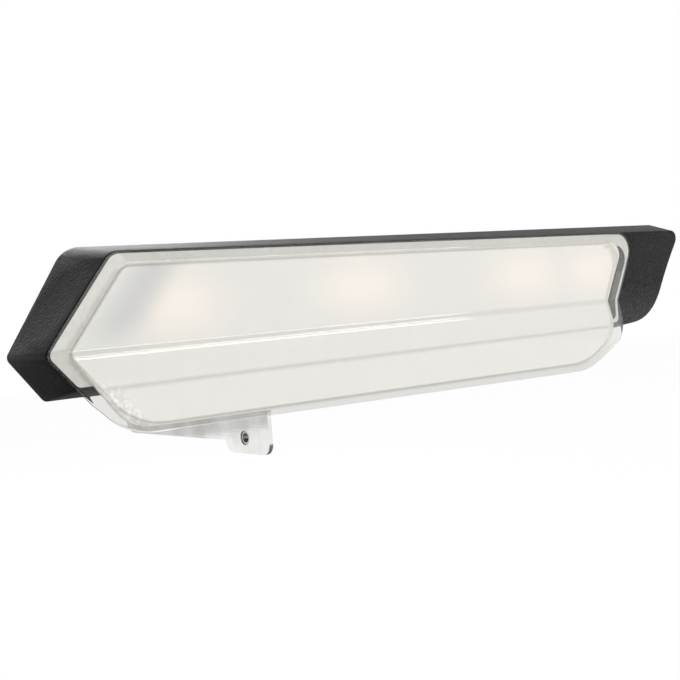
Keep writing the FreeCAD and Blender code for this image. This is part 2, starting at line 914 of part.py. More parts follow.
for i, x in enumerate(LED_X):
    package = block(
        f"led_{i + 1}",
        f"{x} - led_size / 2",
        f"{BOARD_FRONT} - led_t",
        "led_z - led_size / 2",
        "led_size",
        "led_t",
        "led_size",
    )
    keep(f"led_{i + 1}", package)

spreader_blank = block(
    "spreader_blank",
    "-tray_left + board_in",
    BOARD_BACK,
    "-tray_low + board_in",
    "tray_left + spreader_right - board_in",
    "spreader_t",
    "tray_low + tray_top - 2 * board_in",
)
spreader_holes = []
for i, (x, z) in enumerate(BOARD_SCREWS):
    spreader_holes.append(
        rod(
            f"spreader_hole_{i}",
            "y",
            x,
            f"{BOARD_BACK} - 1",
            z,
            "board_screw_r + screw_gap",
            "spreader_t + 2",
        )
    )
keep("heat_spreader", cut("heat_spreader", spreader_blank, spreader_holes))


def screw(name, axis, x, y, z, shank_r, shank, head_r, head, back):
    """A pan-head screw; back puts the head on the far side of its start."""
    start = {"x": x, "y": y, "z": z}
    under = dict(start)
    reach = dict(start)
    if back:
        reach[axis] = f"{start[axis]} - ({shank})"
    else:
        under[axis] = f"{start[axis]} - ({head})"
    stem = rod(f"{name}_stem", axis, reach["x"], reach["y"], reach["z"], shank_r, shank)
    top = rod(f"{name}_top", axis, under["x"], under["y"], under["z"], head_r, head)
    return fuse(name, [stem, top])


board_screws = []
for i, (x, z) in enumerate(BOARD_SCREWS):
    board_screws.append(
        screw(
            f"board_screw_{i}",
            "y",
            x,
            SPREADER_BACK,
            z,
            "board_screw_r",
            "board_screw_len",
            "board_head_r",
            "board_head_h",
            True,
        )
    )
keep("board_screws", group("board_screws", board_screws))

keep(
    "driver_chip",
    block(
        "driver_chip",
        "chip_x - chip_w / 2",
        BOARD_BACK,
        "part_z - chip_w / 2",
        "chip_w",
        "chip_t",
        "chip_w",
    ),
)
keep("driver_coil", rod("driver_coil", "y", "coil_x", BOARD_BACK, "part_z", "coil_r", "coil_h"))
capacitors = []
for i in range(2):
    capacitors.append(
        rod(
            f"capacitor_{i}",
            "y",
            f"cap_x - {i} * cap_pitch",
            BOARD_BACK,
            "part_z",
            "cap_r",
            "cap_h",
        )
    )
keep("capacitors", group("capacitors", capacitors))

# Rear cover with its bosses



def between(first, second, share):
    """Corners on the way from one outline to another, by a share of that way."""
    out = []
    for (a, b), (c, d) in zip(first, second):
        out.append((f"({a}) + (({c}) - ({a})) * {share}", f"({b}) + (({d}) - ({b})) * {share}"))
    return out


# The cover drops into the tapering hollow, so its edge follows the hollow at the cover's depth.
cover = new_body("back_cover_plate")
cover_seat = between(hollow_rear_corners, hollow_front_corners, f"(cover_t / {INNER})")
cover_corners = inset(cover_seat, "(2 * cover_gap)", "cover_gap")
cover_outline = rounded(cover, "cover_outline", "XZ_Plane", "0", cover_corners, REAR_RADII)
pad(cover, "cover_plate", cover_outline, "cover_t")
INSERTS = [("-insert_span / 2", "0"), ("insert_span / 2", "0")]
boss_sketch = rectangles(
    cover, "cover_bosses", "cover_t / 2", "insert_boss_w", "insert_boss_w", INSERTS
)
pad(cover, "cover_boss_pads", boss_sketch, "insert_len - cover_t / 2")
POSTS = [("-post_x", "post_z"), ("-insert_span / 2 - post_out", "post_z")]
post_sketch = rectangles(cover, "cover_posts", "cover_t / 2", "post_w", "post_w", POSTS)
pad(cover, "cover_post_pads", post_sketch, f"-{SPREADER_BACK} - cover_t / 2")
insert_seats = circles(cover, "insert_seats", "XZ_Plane", "-1", "insert_r", INSERTS)
pocket(cover, "insert_seat_cut", insert_seats, "insert_len + 2", True)
screw_holes = circles(
    cover, "cover_screw_holes", "XZ_Plane", "-1", "cover_screw_r + screw_gap", PILLARS
)
pocket(cover, "cover_screw_cut", screw_holes, "cover_t + 2", True)
PINS = [(f"socket_x + {k} * pin_pitch", "socket_z") for k in (-1, 0, 1)]
pin_holes = rectangles(
    cover, "cover_pin_holes", "-1", "pin_w + 2 * pin_gap", "pin_t + 2 * pin_gap", PINS
)
pocket(cover, "cover_pin_cut", pin_holes, "cover_t + 2", True)
vent_hole = circles(cover, "cover_vent_hole", "XZ_Plane", "-1", "vent_stem_r", [("-vent_x", "vent_z")])
pocket(cover, "cover_vent_cut", vent_hole, "cover_t + 2", True)
keep("back_cover", cover)

cover_screws = []
for i, (x, z) in enumerate(PILLARS):
    cover_screws.append(
        screw(
            f"cover_screw_{i}",
            "y",
            x,
            "0",
            z,
            "cover_screw_r",
            "cover_screw_len",
            "cover_head_r",
            "cover_head_h",
            True,
        )
    )
keep("cover_screws", group("cover_screws", cover_screws))

inserts = []
for i, (x, z) in enumerate(INSERTS):
    outside = rod(f"insert_outside_{i}", "y", x, "-insert_len", z, "insert_r", "insert_len")
    thread = rod(f"insert_thread_{i}", "y", x, "-insert_len - 1", z, "thread_r", "insert_len + 2")
    inserts.append(cut(f"insert_{i}", outside, [thread]))
keep("mount_inserts", group("mount_inserts", inserts))

# Plug socket, contacts and breather

socket_blank = block(
    "socket_blank",
    "socket_x - socket_w / 2",
    "0",
    "socket_z - socket_h / 2",
    "socket_w",
    "socket_len",
    "socket_h",
)
socket_space = block(
    "socket_space",
    "socket_x - socket_w / 2 + socket_wall",
    "socket_floor",
    "socket_z - socket_h / 2 + socket_wall",
    "socket_w - 2 * socket_wall",
    "socket_len",
    "socket_h - 2 * socket_wall",
)
socket_holes = []
for i, (x, z) in enumerate(PINS):
    left, low = f"{x} - pin_w / 2", f"{z} - pin_t / 2"
    hole = block(f"socket_hole_{i}", left, "-1", low, "pin_w", "socket_floor + 2", "pin_t")
    socket_holes.append(hole)
keep("plug_socket", cut("plug_socket", socket_blank, [socket_space] + socket_holes))

pins = []
for i, (x, z) in enumerate(PINS):
    left, low = f"{x} - pin_w / 2", f"{z} - pin_t / 2"
    reach = f"socket_len - pin_short - {BOARD_BACK}"
    pins.append(block(f"contact_pin_{i}", left, BOARD_BACK, low, "pin_w", reach, "pin_t"))
keep("contact_pins", group("contact_pins", pins))

vent_stem = rod("vent_stem", "y", "-vent_x", "-cover_t", "vent_z", "vent_stem_r", "cover_t + 1")
vent_head = rod("vent_head", "y", "-vent_x", "0", "vent_z", "vent_head_r", "vent_head_h")
keep("vent_cap", fuse("vent_cap", [vent_stem, vent_head]))

# Sheet bracket under the housing

bracket = new_body("bracket_sheet")
web = polygon(
    bracket,
    "web_outline",
    "YZ_Plane",
    "-web_x",
    [
        ("-web_front", "-pad_low"),
        ("-web_front", "-tab_low"),
        ("tab_rear", "-tab_low"),
        ("tab_rear", "-arm_low"),
        ("arm_rear", "-arm_low"),
        ("arm_rear", "-arm_top"),
        ("tab_rear", "-pad_low"),
    ],
)
web_solid = pad(bracket, "web_sheet", web, "sheet_t")


def web_edge(y, z):
    """Ends of the short edge through the sheet at one corner of the web."""
    return (at("-web_x", y, z), at("sheet_t - web_x", y, z))


web_solid = round_edges(
    bracket,
    "tab_corners",
    web_solid,
    "tab_corner",
    [web_edge("-web_front", "-tab_low"), web_edge("tab_rear", "-tab_low")],
)
web_solid = round_edges(
    bracket,
    "arm_corners",
    web_solid,
    "arm_corner",
    [web_edge("arm_rear", "-arm_low"), web_edge("arm_rear", "-arm_top")],
)
flange = polygon(
    bracket,
    "flange_outline",
    "XY_Plane",
    "-pad_low",
    [
        ("-web_x", "-pad_front"),
        ("sheet_t - web_x + pad_len", "-pad_front"),
        ("sheet_t - web_x + pad_len", "-pad_rear"),
        ("-web_x", "-pad_rear"),
    ],
)
pad(bracket, "flange_sheet", flange, "sheet_t", True)
flange_holes = circles(
    bracket,
    "flange_holes",
    "XY_Plane",
    "-pad_low + 1",
    "foot_screw_r + screw_gap",
    [(FOOT_X, y) for y in FOOT_Y],
)
pocket(bracket, "flange_hole_cut", flange_holes, "sheet_t + 2")
nut_seat = circles(bracket, "nut_seat", "YZ_Plane", "-web_x - 1", "nut_shank_r", [("-nut_y", "-nut_z")])
pocket(bracket, "nut_seat_cut", nut_seat, "sheet_t + 2", True)
arm_hole = circles(
    bracket,
    "arm_hole",
    "YZ_Plane",
    "-web_x - 1",
    "arm_hole_r",
    [("arm_rear - arm_hole_in", "-(arm_low + arm_top) / 2")],
)
pocket(bracket, "arm_hole_cut", arm_hole, "sheet_t + 2", True)
keep("mounting_bracket", bracket)

foot_screws = []
for i, y in enumerate(FOOT_Y):
    foot_screws.append(
        screw(
            f"bracket_screw_{i}",
            "z",
            FOOT_X,
            y,
            "-pad_low - sheet_t",
            "foot_screw_r",
            "foot_screw_len + sheet_t - 1.5",
            "foot_head_r",
            "foot_head_h",
            False,
        )
    )
keep("bracket_screws", group("bracket_screws", foot_screws))

nut_shank = rod(
    "nut_shank",
    "x",
    "nut_recess - web_x",
    "-nut_y",
    "-nut_z",
    "nut_shank_r",
    "sheet_t - nut_recess + 1",
)
nut_collar = rod("nut_collar", "x", "sheet_t - web_x", "-nut_y", "-nut_z", "nut_r", "nut_h")
nut_blank = fuse("nut_blank", [nut_shank, nut_collar])
nut_thread = rod(
    "nut_thread", "x", "-web_x - 1", "-nut_y", "-nut_z", "nut_thread_r", "sheet_t + nut_h + 2"
)
keep("clinch_nut", cut("nut_body", nut_blank, [nut_thread]))

doc.recompute()
for item in doc.Objects:
    if "Invalid" in item.State or "Error" in item.State:
        raise RuntimeError(f"{item.Name} is {item.State}")
os.makedirs("parts", exist_ok=True)
for name, item in NODES:
    shape = item.Shape
    if shape.isNull() or not shape.isValid() or shape.Volume <= 0:
        raise RuntimeError(f"{name} has no valid solid")
    shape.exportStep(f"parts/{name}.step")
    print(name, len(shape.Solids), round(shape.Volume))
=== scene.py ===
# %% [markdown]
# A slim vehicle front lamp: a black moulded housing, a clear creased lens with a chin, a frosted
# plate behind it and a bright sheet bracket underneath. The solid shapes come from the CAD frame.
# This lesson gives each of them the look of its real material, adds small details that a moulder
# or a toolmaker would leave, and sets up a plain studio around the lamp.

import math

import bmesh
import bpy
import numpy as np
from mathutils import Matrix, Vector


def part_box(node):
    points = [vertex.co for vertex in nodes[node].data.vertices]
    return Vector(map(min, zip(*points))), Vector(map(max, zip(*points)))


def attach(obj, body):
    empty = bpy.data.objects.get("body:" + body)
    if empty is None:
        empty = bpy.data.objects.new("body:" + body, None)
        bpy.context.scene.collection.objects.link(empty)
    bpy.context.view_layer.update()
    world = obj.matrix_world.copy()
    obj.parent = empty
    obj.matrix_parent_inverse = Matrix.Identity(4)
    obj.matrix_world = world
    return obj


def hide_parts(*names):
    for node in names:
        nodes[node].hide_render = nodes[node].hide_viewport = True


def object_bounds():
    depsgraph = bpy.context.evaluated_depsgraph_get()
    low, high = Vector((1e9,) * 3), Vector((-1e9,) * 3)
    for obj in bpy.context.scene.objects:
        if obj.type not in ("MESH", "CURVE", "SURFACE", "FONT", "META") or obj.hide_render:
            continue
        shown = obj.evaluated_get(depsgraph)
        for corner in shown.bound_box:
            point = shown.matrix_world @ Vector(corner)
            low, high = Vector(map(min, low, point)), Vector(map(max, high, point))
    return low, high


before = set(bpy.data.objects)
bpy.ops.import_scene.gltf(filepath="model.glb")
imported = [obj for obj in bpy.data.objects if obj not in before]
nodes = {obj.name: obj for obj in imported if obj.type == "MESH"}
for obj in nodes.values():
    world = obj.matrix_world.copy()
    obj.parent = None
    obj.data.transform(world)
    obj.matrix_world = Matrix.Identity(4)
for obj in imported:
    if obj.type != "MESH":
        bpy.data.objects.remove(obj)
cad_low, cad_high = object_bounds()
MM = 0.001
print("CAD box in mm", [round(v / MM, 1) for v in cad_high - cad_low])

# %% [markdown]
# Colours are written as sRGB hex values, the way a colour card or a photo gives them. The shader
# works with linear light, so one function turns a hex value into linear numbers. A second small
# function adds a shader node with its settings and links, which keeps each material short.
# Patterns are sized in millimetres: a noise of scale s has features of about 1/s metres.


# %% Colour, node and pattern helpers
def linear(hex_colour):
    """Turns an sRGB hex colour into linear red, green, blue and an alpha of 1."""
    parts = [int(hex_colour[i : i + 2], 16) / 255 for i in (1, 3, 5)]
    return [c / 12.92 if c <= 0.04045 else ((c + 0.055) / 1.055) ** 2.4 for c in parts] + [1.0]


def add(tree, kind, settings=None, links=None):
    """Adds one node, sets its sockets, fields or colour stops, and links sockets into it."""
    node = tree.nodes.new(kind)
    for key, value in (settings or {}).items():
        if key == "stops":
            bar = node.color_ramp.elements
            while len(bar) < len(value):
                bar.new(0.5)
            for element, (position, hex_colour) in zip(bar, value):
                element.position, element.color = position, linear(hex_colour)
        elif isinstance(key, int) or key in node.inputs:
            node.inputs[key].default_value = value
        else:
            setattr(node, key, value)
    for key, socket in (links or {}).items():
        tree.links.new(socket, node.inputs[key])
    return node


def pattern(size_mm):
    """Texture scale whose features are about size_mm wide, for coordinates in metres."""
    return 1.0 / (size_mm * MM)


SMOOTH = {"interpolation_type": "SMOOTHSTEP"}  # a Map Range with soft ends


def new_material(name):
    """An empty material: its tree, its output and the piece's own coordinates."""
    material = bpy.data.materials.new(name)
    material.use_nodes = True
    tree = material.node_tree
    tree.nodes.clear()
    output = add(tree, "ShaderNodeOutputMaterial")
    place = add(tree, "ShaderNodeTexCoord").outputs["Object"]
    return material, tree, output, place


print("white is", linear("#ffffff"))

# %% [markdown]
# The housing's wing at the right end shows lighter specks, most of all low down: a painted sheen
# on its grain. Their amount was set. A noise of one millimetre, coarser than the real grain so
# that it shows, is lifted towards the bottom and cut off below a threshold. A fade along the lamp
# keeps the painted sheen on the wing.


# %% Painted sheen specks on the wing
def wing_sheen_specks(tree, place, colour, sheen_speck):
    """Painted sheen: specks mixed into a colour, noise plus a lift low down, times a fade along X.
    """
    dots = add(
        tree, "ShaderNodeTexNoise", {"Scale": pattern(1.0), "Detail": 2.0}, {"Vector": place}
    ).outputs[0]
    axes = add(tree, "ShaderNodeSeparateXYZ", links={0: place}).outputs
    on_wing = add(
        tree,
        "ShaderNodeMapRange",
        {"From Min": 80 * MM, "From Max": 150 * MM, "To Min": 0.05, "To Max": 1.0},
        {"Value": axes["X"]},
    ).outputs[0]
    low_down = add(
        tree,
        "ShaderNodeMapRange",
        {"From Min": 12 * MM, "From Max": -16 * MM, "To Min": 0.0, "To Max": 0.28},
        {"Value": axes["Z"]},
    ).outputs[0]
    more = add(tree, "ShaderNodeMath", {"operation": "ADD"}, {0: dots, 1: low_down}).outputs[0]
    where = add(
        tree, "ShaderNodeMapRange", {"From Min": 0.5, "From Max": 0.95}, {"Value": more}
    ).outputs[0]
    where = add(
        tree, "ShaderNodeMath", {"operation": "MULTIPLY"}, {0: where, 1: on_wing}
    ).outputs[0]
    return add(
        tree,
        "ShaderNodeMix",
        {"data_type": "RGBA", "blend_type": "MIX", 7: linear(sheen_speck)},
        {0: where, 6: colour},
    ).outputs[2]


print("speck helper ready")

# %% [markdown]
# Most of the lamp is injection-moulded plastic. The mould's cavity is etched or spark-eroded, so
# the plastic comes out with a fine grain that breaks up reflections. The colour drifts a little
# with flow and handling. A fine noise drives the bump and the roughness, a broad one the colour.


# %% Moulded plastics
def moulded(name, dark, light, grain_mm, bump_mm, gloss, shine=0.5, sheen_specks=None):
    """Plastic with a moulded grain: fine noise for height and gloss, broad noise for colour."""
    material, tree, output, place = new_material(name)
    fine = add(
        tree,
        "ShaderNodeTexNoise",
        {"Scale": pattern(grain_mm), "Detail": 3.0, "Roughness": 0.6},
        {"Vector": place},
    ).outputs[0]
    broad = add(
        tree, "ShaderNodeTexNoise", {"Scale": pattern(35), "Detail": 4.0}, {"Vector": place}
    ).outputs[0]
    tone = add(
        tree, "ShaderNodeMix", {"data_type": "FLOAT", 0: 0.6}, {2: broad, 3: fine}
    ).outputs[0]
    height = add(
        tree,
        "ShaderNodeBump",
        {"Strength": 1.0, "Distance": bump_mm * MM},
        {"Height": fine},
    ).outputs[0]
    colour = add(
        tree, "ShaderNodeValToRGB", {"stops": [(0.4, dark), (0.6, light)]}, {"Fac": tone}
    ).outputs[0]
    roughness = add(
        tree, "ShaderNodeMapRange", {"To Min": gloss[0], "To Max": gloss[1]}, {"Value": fine}
    ).outputs[0]
    # lighter specks of painted sheen, where a finish asks for them
    if sheen_specks:
        colour = wing_sheen_specks(tree, place, colour, sheen_specks)
    shader = add(
        tree,
        "ShaderNodeBsdfPrincipled",
        {"IOR": 1.5, "Specular IOR Level": shine},
        {"Base Color": colour, "Roughness": roughness, "Normal": height},
    )
    tree.links.new(shader.outputs[0], output.inputs[0])
    return material


finishes = {
    # polypropylene blend, spark-eroded cavity: matt black with a fine grain, drawn coarser than
    # real so that it shows, and lighter specks of painted sheen on the wing
    "grained_black_plastic": moulded(
        "grained_black_polypropylene", "#010101", "#0c0b0c", 1.1, 0.3, (0.45, 0.6), 0.26, "#4a494a"
    ),
    # the rear cover's cavity was only ground, so it comes out smoother
    "smooth_black_plastic": moulded(
        "ground_black_nylon", "#181819", "#212122", 0.7, 0.02, (0.34, 0.46)
    ),
    # glass-filled nylon of the plug socket, greyer with a dry surface
    "socket_plastic": moulded("glass_filled_nylon", "#1d1d1f", "#2a2a2c", 0.5, 0.03, (0.4, 0.55)),
    # breather cap of a soft rubbery plastic
    "vent_plastic": moulded("breather_elastomer", "#26262a", "#313136", 0.8, 0.02, (0.55, 0.7)),
    # reflector tray, white polycarbonate filled with titanium oxide
    "white_plastic": moulded("white_polycarbonate", "#e9e8e2", "#f3f2ee", 1.2, 0.01, (0.3, 0.4)),
    # white silicone gasket under the lens rim, soft and matt
    "white_sealant": moulded("white_silicone", "#dddcd8", "#e9e8e4", 2.0, 0.05, (0.5, 0.65)),
    # epoxy of the driver chip
    "chip_resin": moulded("chip_epoxy", "#1b1b1c", "#262627", 0.3, 0.01, (0.45, 0.6)),
    # pressed ferrite of the coil
    "coil_ferrite": moulded("pressed_ferrite", "#2c2b2a", "#3b3936", 0.4, 0.02, (0.5, 0.65)),
}
print("moulded finishes", len(finishes))

# %% [markdown]
# Bare metal shows how it was worked: rolled sheet has faint long lines, turned parts have rings,
# plated screws are mottled. A metal keeps the default IOR and takes its look from its colour and
# its roughness, so a stretched noise gives the lines and a broad one the stains of handling.


# %% Metals
def metal(name, dark, light, line_mm, stretch, gloss, bump_mm=0.004):
    """Worked metal: noise drawn out along one or more axes for lines, broad noise for stains."""
    material, tree, output, place = new_material(name)
    drawn = add(tree, "ShaderNodeMapping", {"Scale": stretch}, {"Vector": place}).outputs[0]
    lines = add(
        tree, "ShaderNodeTexNoise", {"Scale": pattern(line_mm), "Detail": 4.0}, {"Vector": drawn}
    ).outputs[0]
    stains = add(
        tree, "ShaderNodeTexNoise", {"Scale": pattern(18), "Detail": 5.0}, {"Vector": place}
    ).outputs[0]
    height = add(
        tree, "ShaderNodeBump", {"Strength": 1.0, "Distance": bump_mm * MM}, {"Height": lines}
    ).outputs[0]
    colour = add(
        tree, "ShaderNodeValToRGB", {"stops": [(0.3, dark), (0.7, light)]}, {"Fac": stains}
    ).outputs[0]
    roughness = add(
        tree, "ShaderNodeMapRange", {"To Min": gloss[0], "To Max": gloss[1]}, {"Value": lines}
    ).outputs[0]
    shader = add(
        tree,
        "ShaderNodeBsdfPrincipled",
        {"Metallic": 1.0},
        {"Base Color": colour, "Roughness": roughness, "Normal": height},
    )
    tree.links.new(shader.outputs[0], output.inputs[0])
    return material


finishes.update(
    {
        # cold-rolled stainless sheet, bright, with rolling lines along the arm
        "bright_steel_sheet": metal(
            "bright_rolled_stainless", "#dcdbd7", "#ffffff", 0.8, (1.0, 0.05, 1.0), (0.03, 0.08)
        ),
        # turned and tumbled steel of the clinch nut
        "nut_steel": metal(
            "turned_steel", "#b9b7b2", "#d0cec9", 0.3, (0.2, 1.0, 1.0), (0.22, 0.34)
        ),
        # zinc plating with a clear passivate
        "zinc_screw": metal("zinc_plate", "#b3b6b8", "#cdd0d0", 0.6, (1.0, 1.0, 1.0), (0.28, 0.42)),
        # brass bar, turned
        "brass_insert": metal(
            "turned_brass", "#c29a52", "#d9b66c", 0.3, (1.0, 0.2, 1.0), (0.22, 0.34)
        ),
        # tin over brass, dull white
        "tinned_brass": metal("bright_tin", "#c9c8c3", "#dddcd8", 0.4, (1.0, 0.1, 1.0), (0.2, 0.3)),
        # rolled aluminium of the heat spreader
        "bare_aluminium": metal(
            "rolled_aluminium", "#c7c9ca", "#d9dbdb", 0.6, (0.05, 1.0, 1.0), (0.3, 0.42)
        ),
        # drawn aluminium can of the capacitors
        "capacitor_can": metal(
            "drawn_aluminium", "#a9acb0", "#c2c5c8", 0.4, (1.0, 0.2, 1.0), (0.25, 0.38)
        ),
    }
)
print("metals ready, finishes now", len(finishes))

# %% [markdown]
# The lens is clear acrylic. Glass-like plastic in Cycles is a Principled shader with full
# transmission and the IOR of acrylic, 1.49. Rays from the lamps would have to find their way
# through it by chance, so shadow and diffuse rays meet a Transparent shader instead and the plate
# behind is lit. A faint waviness of the polished mould keeps the reflections from being perfect.
# The attribute named shade, stored with the lens further down, is painted shade: it is higher at
# the bevels, along the face's edges, across the crease and along the groove, and a slightly grey
# tint follows it.

# %% Clear acrylic
acrylic, tree, output, place = new_material("polished_clear_acrylic")
wave = add(
    tree, "ShaderNodeTexNoise", {"Scale": pattern(14), "Detail": 2.0}, {"Vector": place}
).outputs[0]
shade = add(tree, "ShaderNodeAttribute", {"attribute_name": "shade"}).outputs["Fac"]
# the grey tint is painted shade and follows the shade attribute
tint_stops = [(0.0, "#fefefe"), (0.5, "#e9e8e5"), (1.0, "#cccbc8")]
tint = add(tree, "ShaderNodeValToRGB", {"stops": tint_stops}, {"Fac": shade}).outputs[0]
polish = add(tree, "ShaderNodeMapRange", {"To Min": 0.01, "To Max": 0.05}, {"Value": wave})
ripple = add(
    tree, "ShaderNodeBump", {"Strength": 1.0, "Distance": 0.006 * MM}, {"Height": wave}
)
clear = add(
    tree,
    "ShaderNodeBsdfPrincipled",
    {"IOR": 1.49, "Transmission Weight": 1.0},
    {"Base Color": tint, "Roughness": polish.outputs[0], "Normal": ripple.outputs[0]},
)
through = add(tree, "ShaderNodeBsdfTransparent", {"Color": linear("#fdfdfd")})
path = add(tree, "ShaderNodeLightPath")
either = add(
    tree,
    "ShaderNodeMath",
    {"operation": "MAXIMUM"},
    {0: path.outputs["Is Shadow Ray"], 1: path.outputs["Is Diffuse Ray"]},
)
mixed = add(
    tree,
    "ShaderNodeMixShader",
    links={0: either.outputs[0], 1: clear.outputs[0], 2: through.outputs[0]},
)
tree.links.new(mixed.outputs[0], output.inputs[0])
finishes["clear_acrylic"] = acrylic
print("lens finish", acrylic.name)

# %% [markdown]
# Behind the lens lies a frosted plate with soft warm patches, taken here for the yellow phosphor
# of the light sources showing through. Real light through the plate would need many samples, so
# the patches are painted where they were seen: the distance from a point, squeezed along the
# plate, fades from the middle of a patch to its rim.

# %% Warm patches of the frosted plate
frosted, tree, output, place = new_material("frosted_acrylic_sheet")


def patch(centre_mm, reach_mm):
    """A soft patch: 1 in the middle, fading to 0 at its reach along X, Y and Z."""
    scale = [1.0 / (r * MM) for r in reach_mm]
    middle = [-c / r for c, r in zip(centre_mm, reach_mm)]
    squeezed = add(
        tree, "ShaderNodeMapping", {"Location": middle, "Scale": scale}, {"Vector": place}
    ).outputs[0]
    length = add(tree, "ShaderNodeVectorMath", {"operation": "LENGTH"}, {0: squeezed})
    return add(
        tree,
        "ShaderNodeMapRange",
        {"From Min": 0.0, "From Max": 1.0, "To Min": 1.0, "To Max": 0.0, **SMOOTH},
        {"Value": length.outputs["Value"]},
    ).outputs[0]


warm_patches = [
    patch((-150, -28, 16), (34, 60, 22)),
    patch((-53, -28, 18), (46, 60, 22)),
    patch((62, -28, 18), (50, 60, 22)),
    patch((118, -28, 18), (46, 60, 22)),
]
glow = warm_patches[0]
for other in warm_patches[1:]:  # the strongest patch counts at each point
    glow = add(tree, "ShaderNodeMath", {"operation": "MAXIMUM"}, {0: glow, 1: other}).outputs[0]
print("warm patches on", frosted.name)

# %% [markdown]
# A soft darker band near the plate's left end leans like the plate's edge. It is taken for the
# end of the tray behind, where less light comes back. The place is measured along the slanted
# direction with a dot product, and the band fades to both sides and below the crease.

# %% Darker band of the frosted plate
lean = 31.2 / 38.4  # how far the plate's left edge runs per millimetre of height
slanted = add(
    tree,
    "ShaderNodeVectorMath",
    {"operation": "DOT_PRODUCT", 1: (1.0, 0.0, -lean)},
    {0: place},
).outputs["Value"]
into = add(tree, "ShaderNodeMath", {"operation": "SUBTRACT", 1: -186 * MM}, {0: slanted}).outputs[0]
apart = add(tree, "ShaderNodeMath", {"operation": "ABSOLUTE"}, {0: into}).outputs[0]
band = add(
    tree,
    "ShaderNodeMapRange",
    {"From Min": 0.0, "From Max": 18 * MM, "To Min": 1.0, "To Max": 0.0, **SMOOTH},
    {"Value": apart},
).outputs[0]
up_plate = add(tree, "ShaderNodeSeparateXYZ", links={0: place}).outputs["Z"]
above_crease = add(
    tree,
    "ShaderNodeMapRange",
    {"From Min": -4 * MM, "From Max": 14 * MM, **SMOOTH},
    {"Value": up_plate},
).outputs[0]
band = add(tree, "ShaderNodeMath", {"operation": "MULTIPLY"}, {0: band, 1: above_crease}).outputs[0]
print("band leans by", round(lean, 2))

# %% [markdown]
# The plate's own colour is a pale, slightly warm white that drifts a little from place to place.
# The warm patches are mixed over it first and the darker band after them.

# %% Tones of the frosted plate
mottle = add(
    tree, "ShaderNodeTexNoise", {"Scale": pattern(6), "Detail": 4.0}, {"Vector": place}
).outputs[0]
pale = add(
    tree, "ShaderNodeValToRGB", {"stops": [(0.3, "#e6e5de"), (0.7, "#e9e8e2")]}, {"Fac": mottle}
).outputs[0]
warmth = add(tree, "ShaderNodeMapRange", {"To Min": 0.0, "To Max": 0.75}, {"Value": glow})
warm = add(
    tree,
    "ShaderNodeMix",
    {"data_type": "RGBA", "blend_type": "MIX", 7: linear("#fff5e8")},
    {0: warmth.outputs[0], 6: pale},
).outputs[2]
dimming = add(tree, "ShaderNodeMapRange", {"To Min": 0.0, "To Max": 0.8}, {"Value": band})
toned = add(
    tree,
    "ShaderNodeMix",
    {"data_type": "RGBA", "blend_type": "MIX", 7: linear("#c9c9c8")},
    {0: dimming.outputs[0], 6: warm},
).outputs[2]
print("plate tones mixed")

# %% [markdown]
# The plate's lower left corner carries painted glints: white grains that sparkle, near the edge
# and low down. A Voronoi pattern gives separate grains; they are drawn at 1.6 mm, coarser than
# real etching, so that they show in the picture.

# %% Painted glints at the corner of the frosted plate
lean_low = 26.4 / 32.0  # the same as lean, below the tip
slanted_low = add(
    tree, "ShaderNodeVectorMath", {"operation": "DOT_PRODUCT", 1: (1.0, 0.0, lean_low)}, {0: place}
).outputs["Value"]
near_edge = add(
    tree,
    "ShaderNodeMapRange",
    {"From Min": -197 * MM, "From Max": -188 * MM, "To Min": 1.0, "To Max": 0.0, **SMOOTH},
    {"Value": slanted_low},
).outputs[0]
low_down = add(
    tree,
    "ShaderNodeMapRange",
    {"From Min": -16 * MM, "From Max": -11 * MM, "To Min": 1.0, "To Max": 0.0, **SMOOTH},
    {"Value": up_plate},
).outputs[0]
# where the painted glints lie: near the lower left edge and low down
glinting = add(tree, "ShaderNodeMath", {"operation": "MULTIPLY"}, {0: near_edge, 1: low_down})
grains = add(tree, "ShaderNodeTexVoronoi", {"Scale": pattern(1.6)}, {"Vector": place})
sparkle = add(
    tree,
    "ShaderNodeValToRGB",
    {"stops": [(0.15, "#ffffff"), (0.7, "#dedcd6")]},
    {"Fac": grains.outputs["Distance"]},
).outputs[0]
toned = add(
    tree,
    "ShaderNodeMix",
    {"data_type": "RGBA", "blend_type": "MIX"},
    {0: glinting.outputs[0], 6: toned, 7: sparkle},
).outputs[2]
print("etched corner mixed")

# %% [markdown]
# The frost itself is a fine sand-blasted grain: it makes the plate matt and lifts its surface by
# a hundredth of a millimetre. It is drawn at half a millimetre, coarser than real.

# %% Frosted acrylic
frost = add(
    tree, "ShaderNodeTexNoise", {"Scale": pattern(0.5), "Detail": 2.0}, {"Vector": place}
).outputs[0]
matt = add(tree, "ShaderNodeMapRange", {"To Min": 0.45, "To Max": 0.65}, {"Value": frost})
lift = add(tree, "ShaderNodeBump", {"Strength": 1.0, "Distance": 0.01 * MM}, {"Height": frost})
shader = add(
    tree,
    "ShaderNodeBsdfPrincipled",
    {"IOR": 1.49},
    {"Base Color": toned, "Roughness": matt.outputs[0], "Normal": lift.outputs[0]},
)
tree.links.new(shader.outputs[0], output.inputs[0])
finishes["frosted_acrylic"] = frosted
print("plate finish", frosted.name)

# %% [markdown]
# The circuit board is glass cloth in epoxy under a white solder mask, so a woven pattern of about
# 0.6 mm shows faintly through. A light source is shown by its yellow phosphor alone, a pressed
# powder drawn with grains of a quarter of a millimetre.

# %% Board and light sources
laminate, tree, output, place = new_material("glass_laminate")
weave = add(
    tree,
    "ShaderNodeTexChecker",
    {"Scale": pattern(0.6), "Color1": linear("#dfe3dc"), "Color2": linear("#e9ece6")},
    {"Vector": place},
)
shader = add(
    tree,
    "ShaderNodeBsdfPrincipled",
    {"Roughness": 0.35, "IOR": 1.5},
    {"Base Color": weave.outputs["Color"]},
)
tree.links.new(shader.outputs[0], output.inputs[0])
finishes["board_laminate"] = laminate

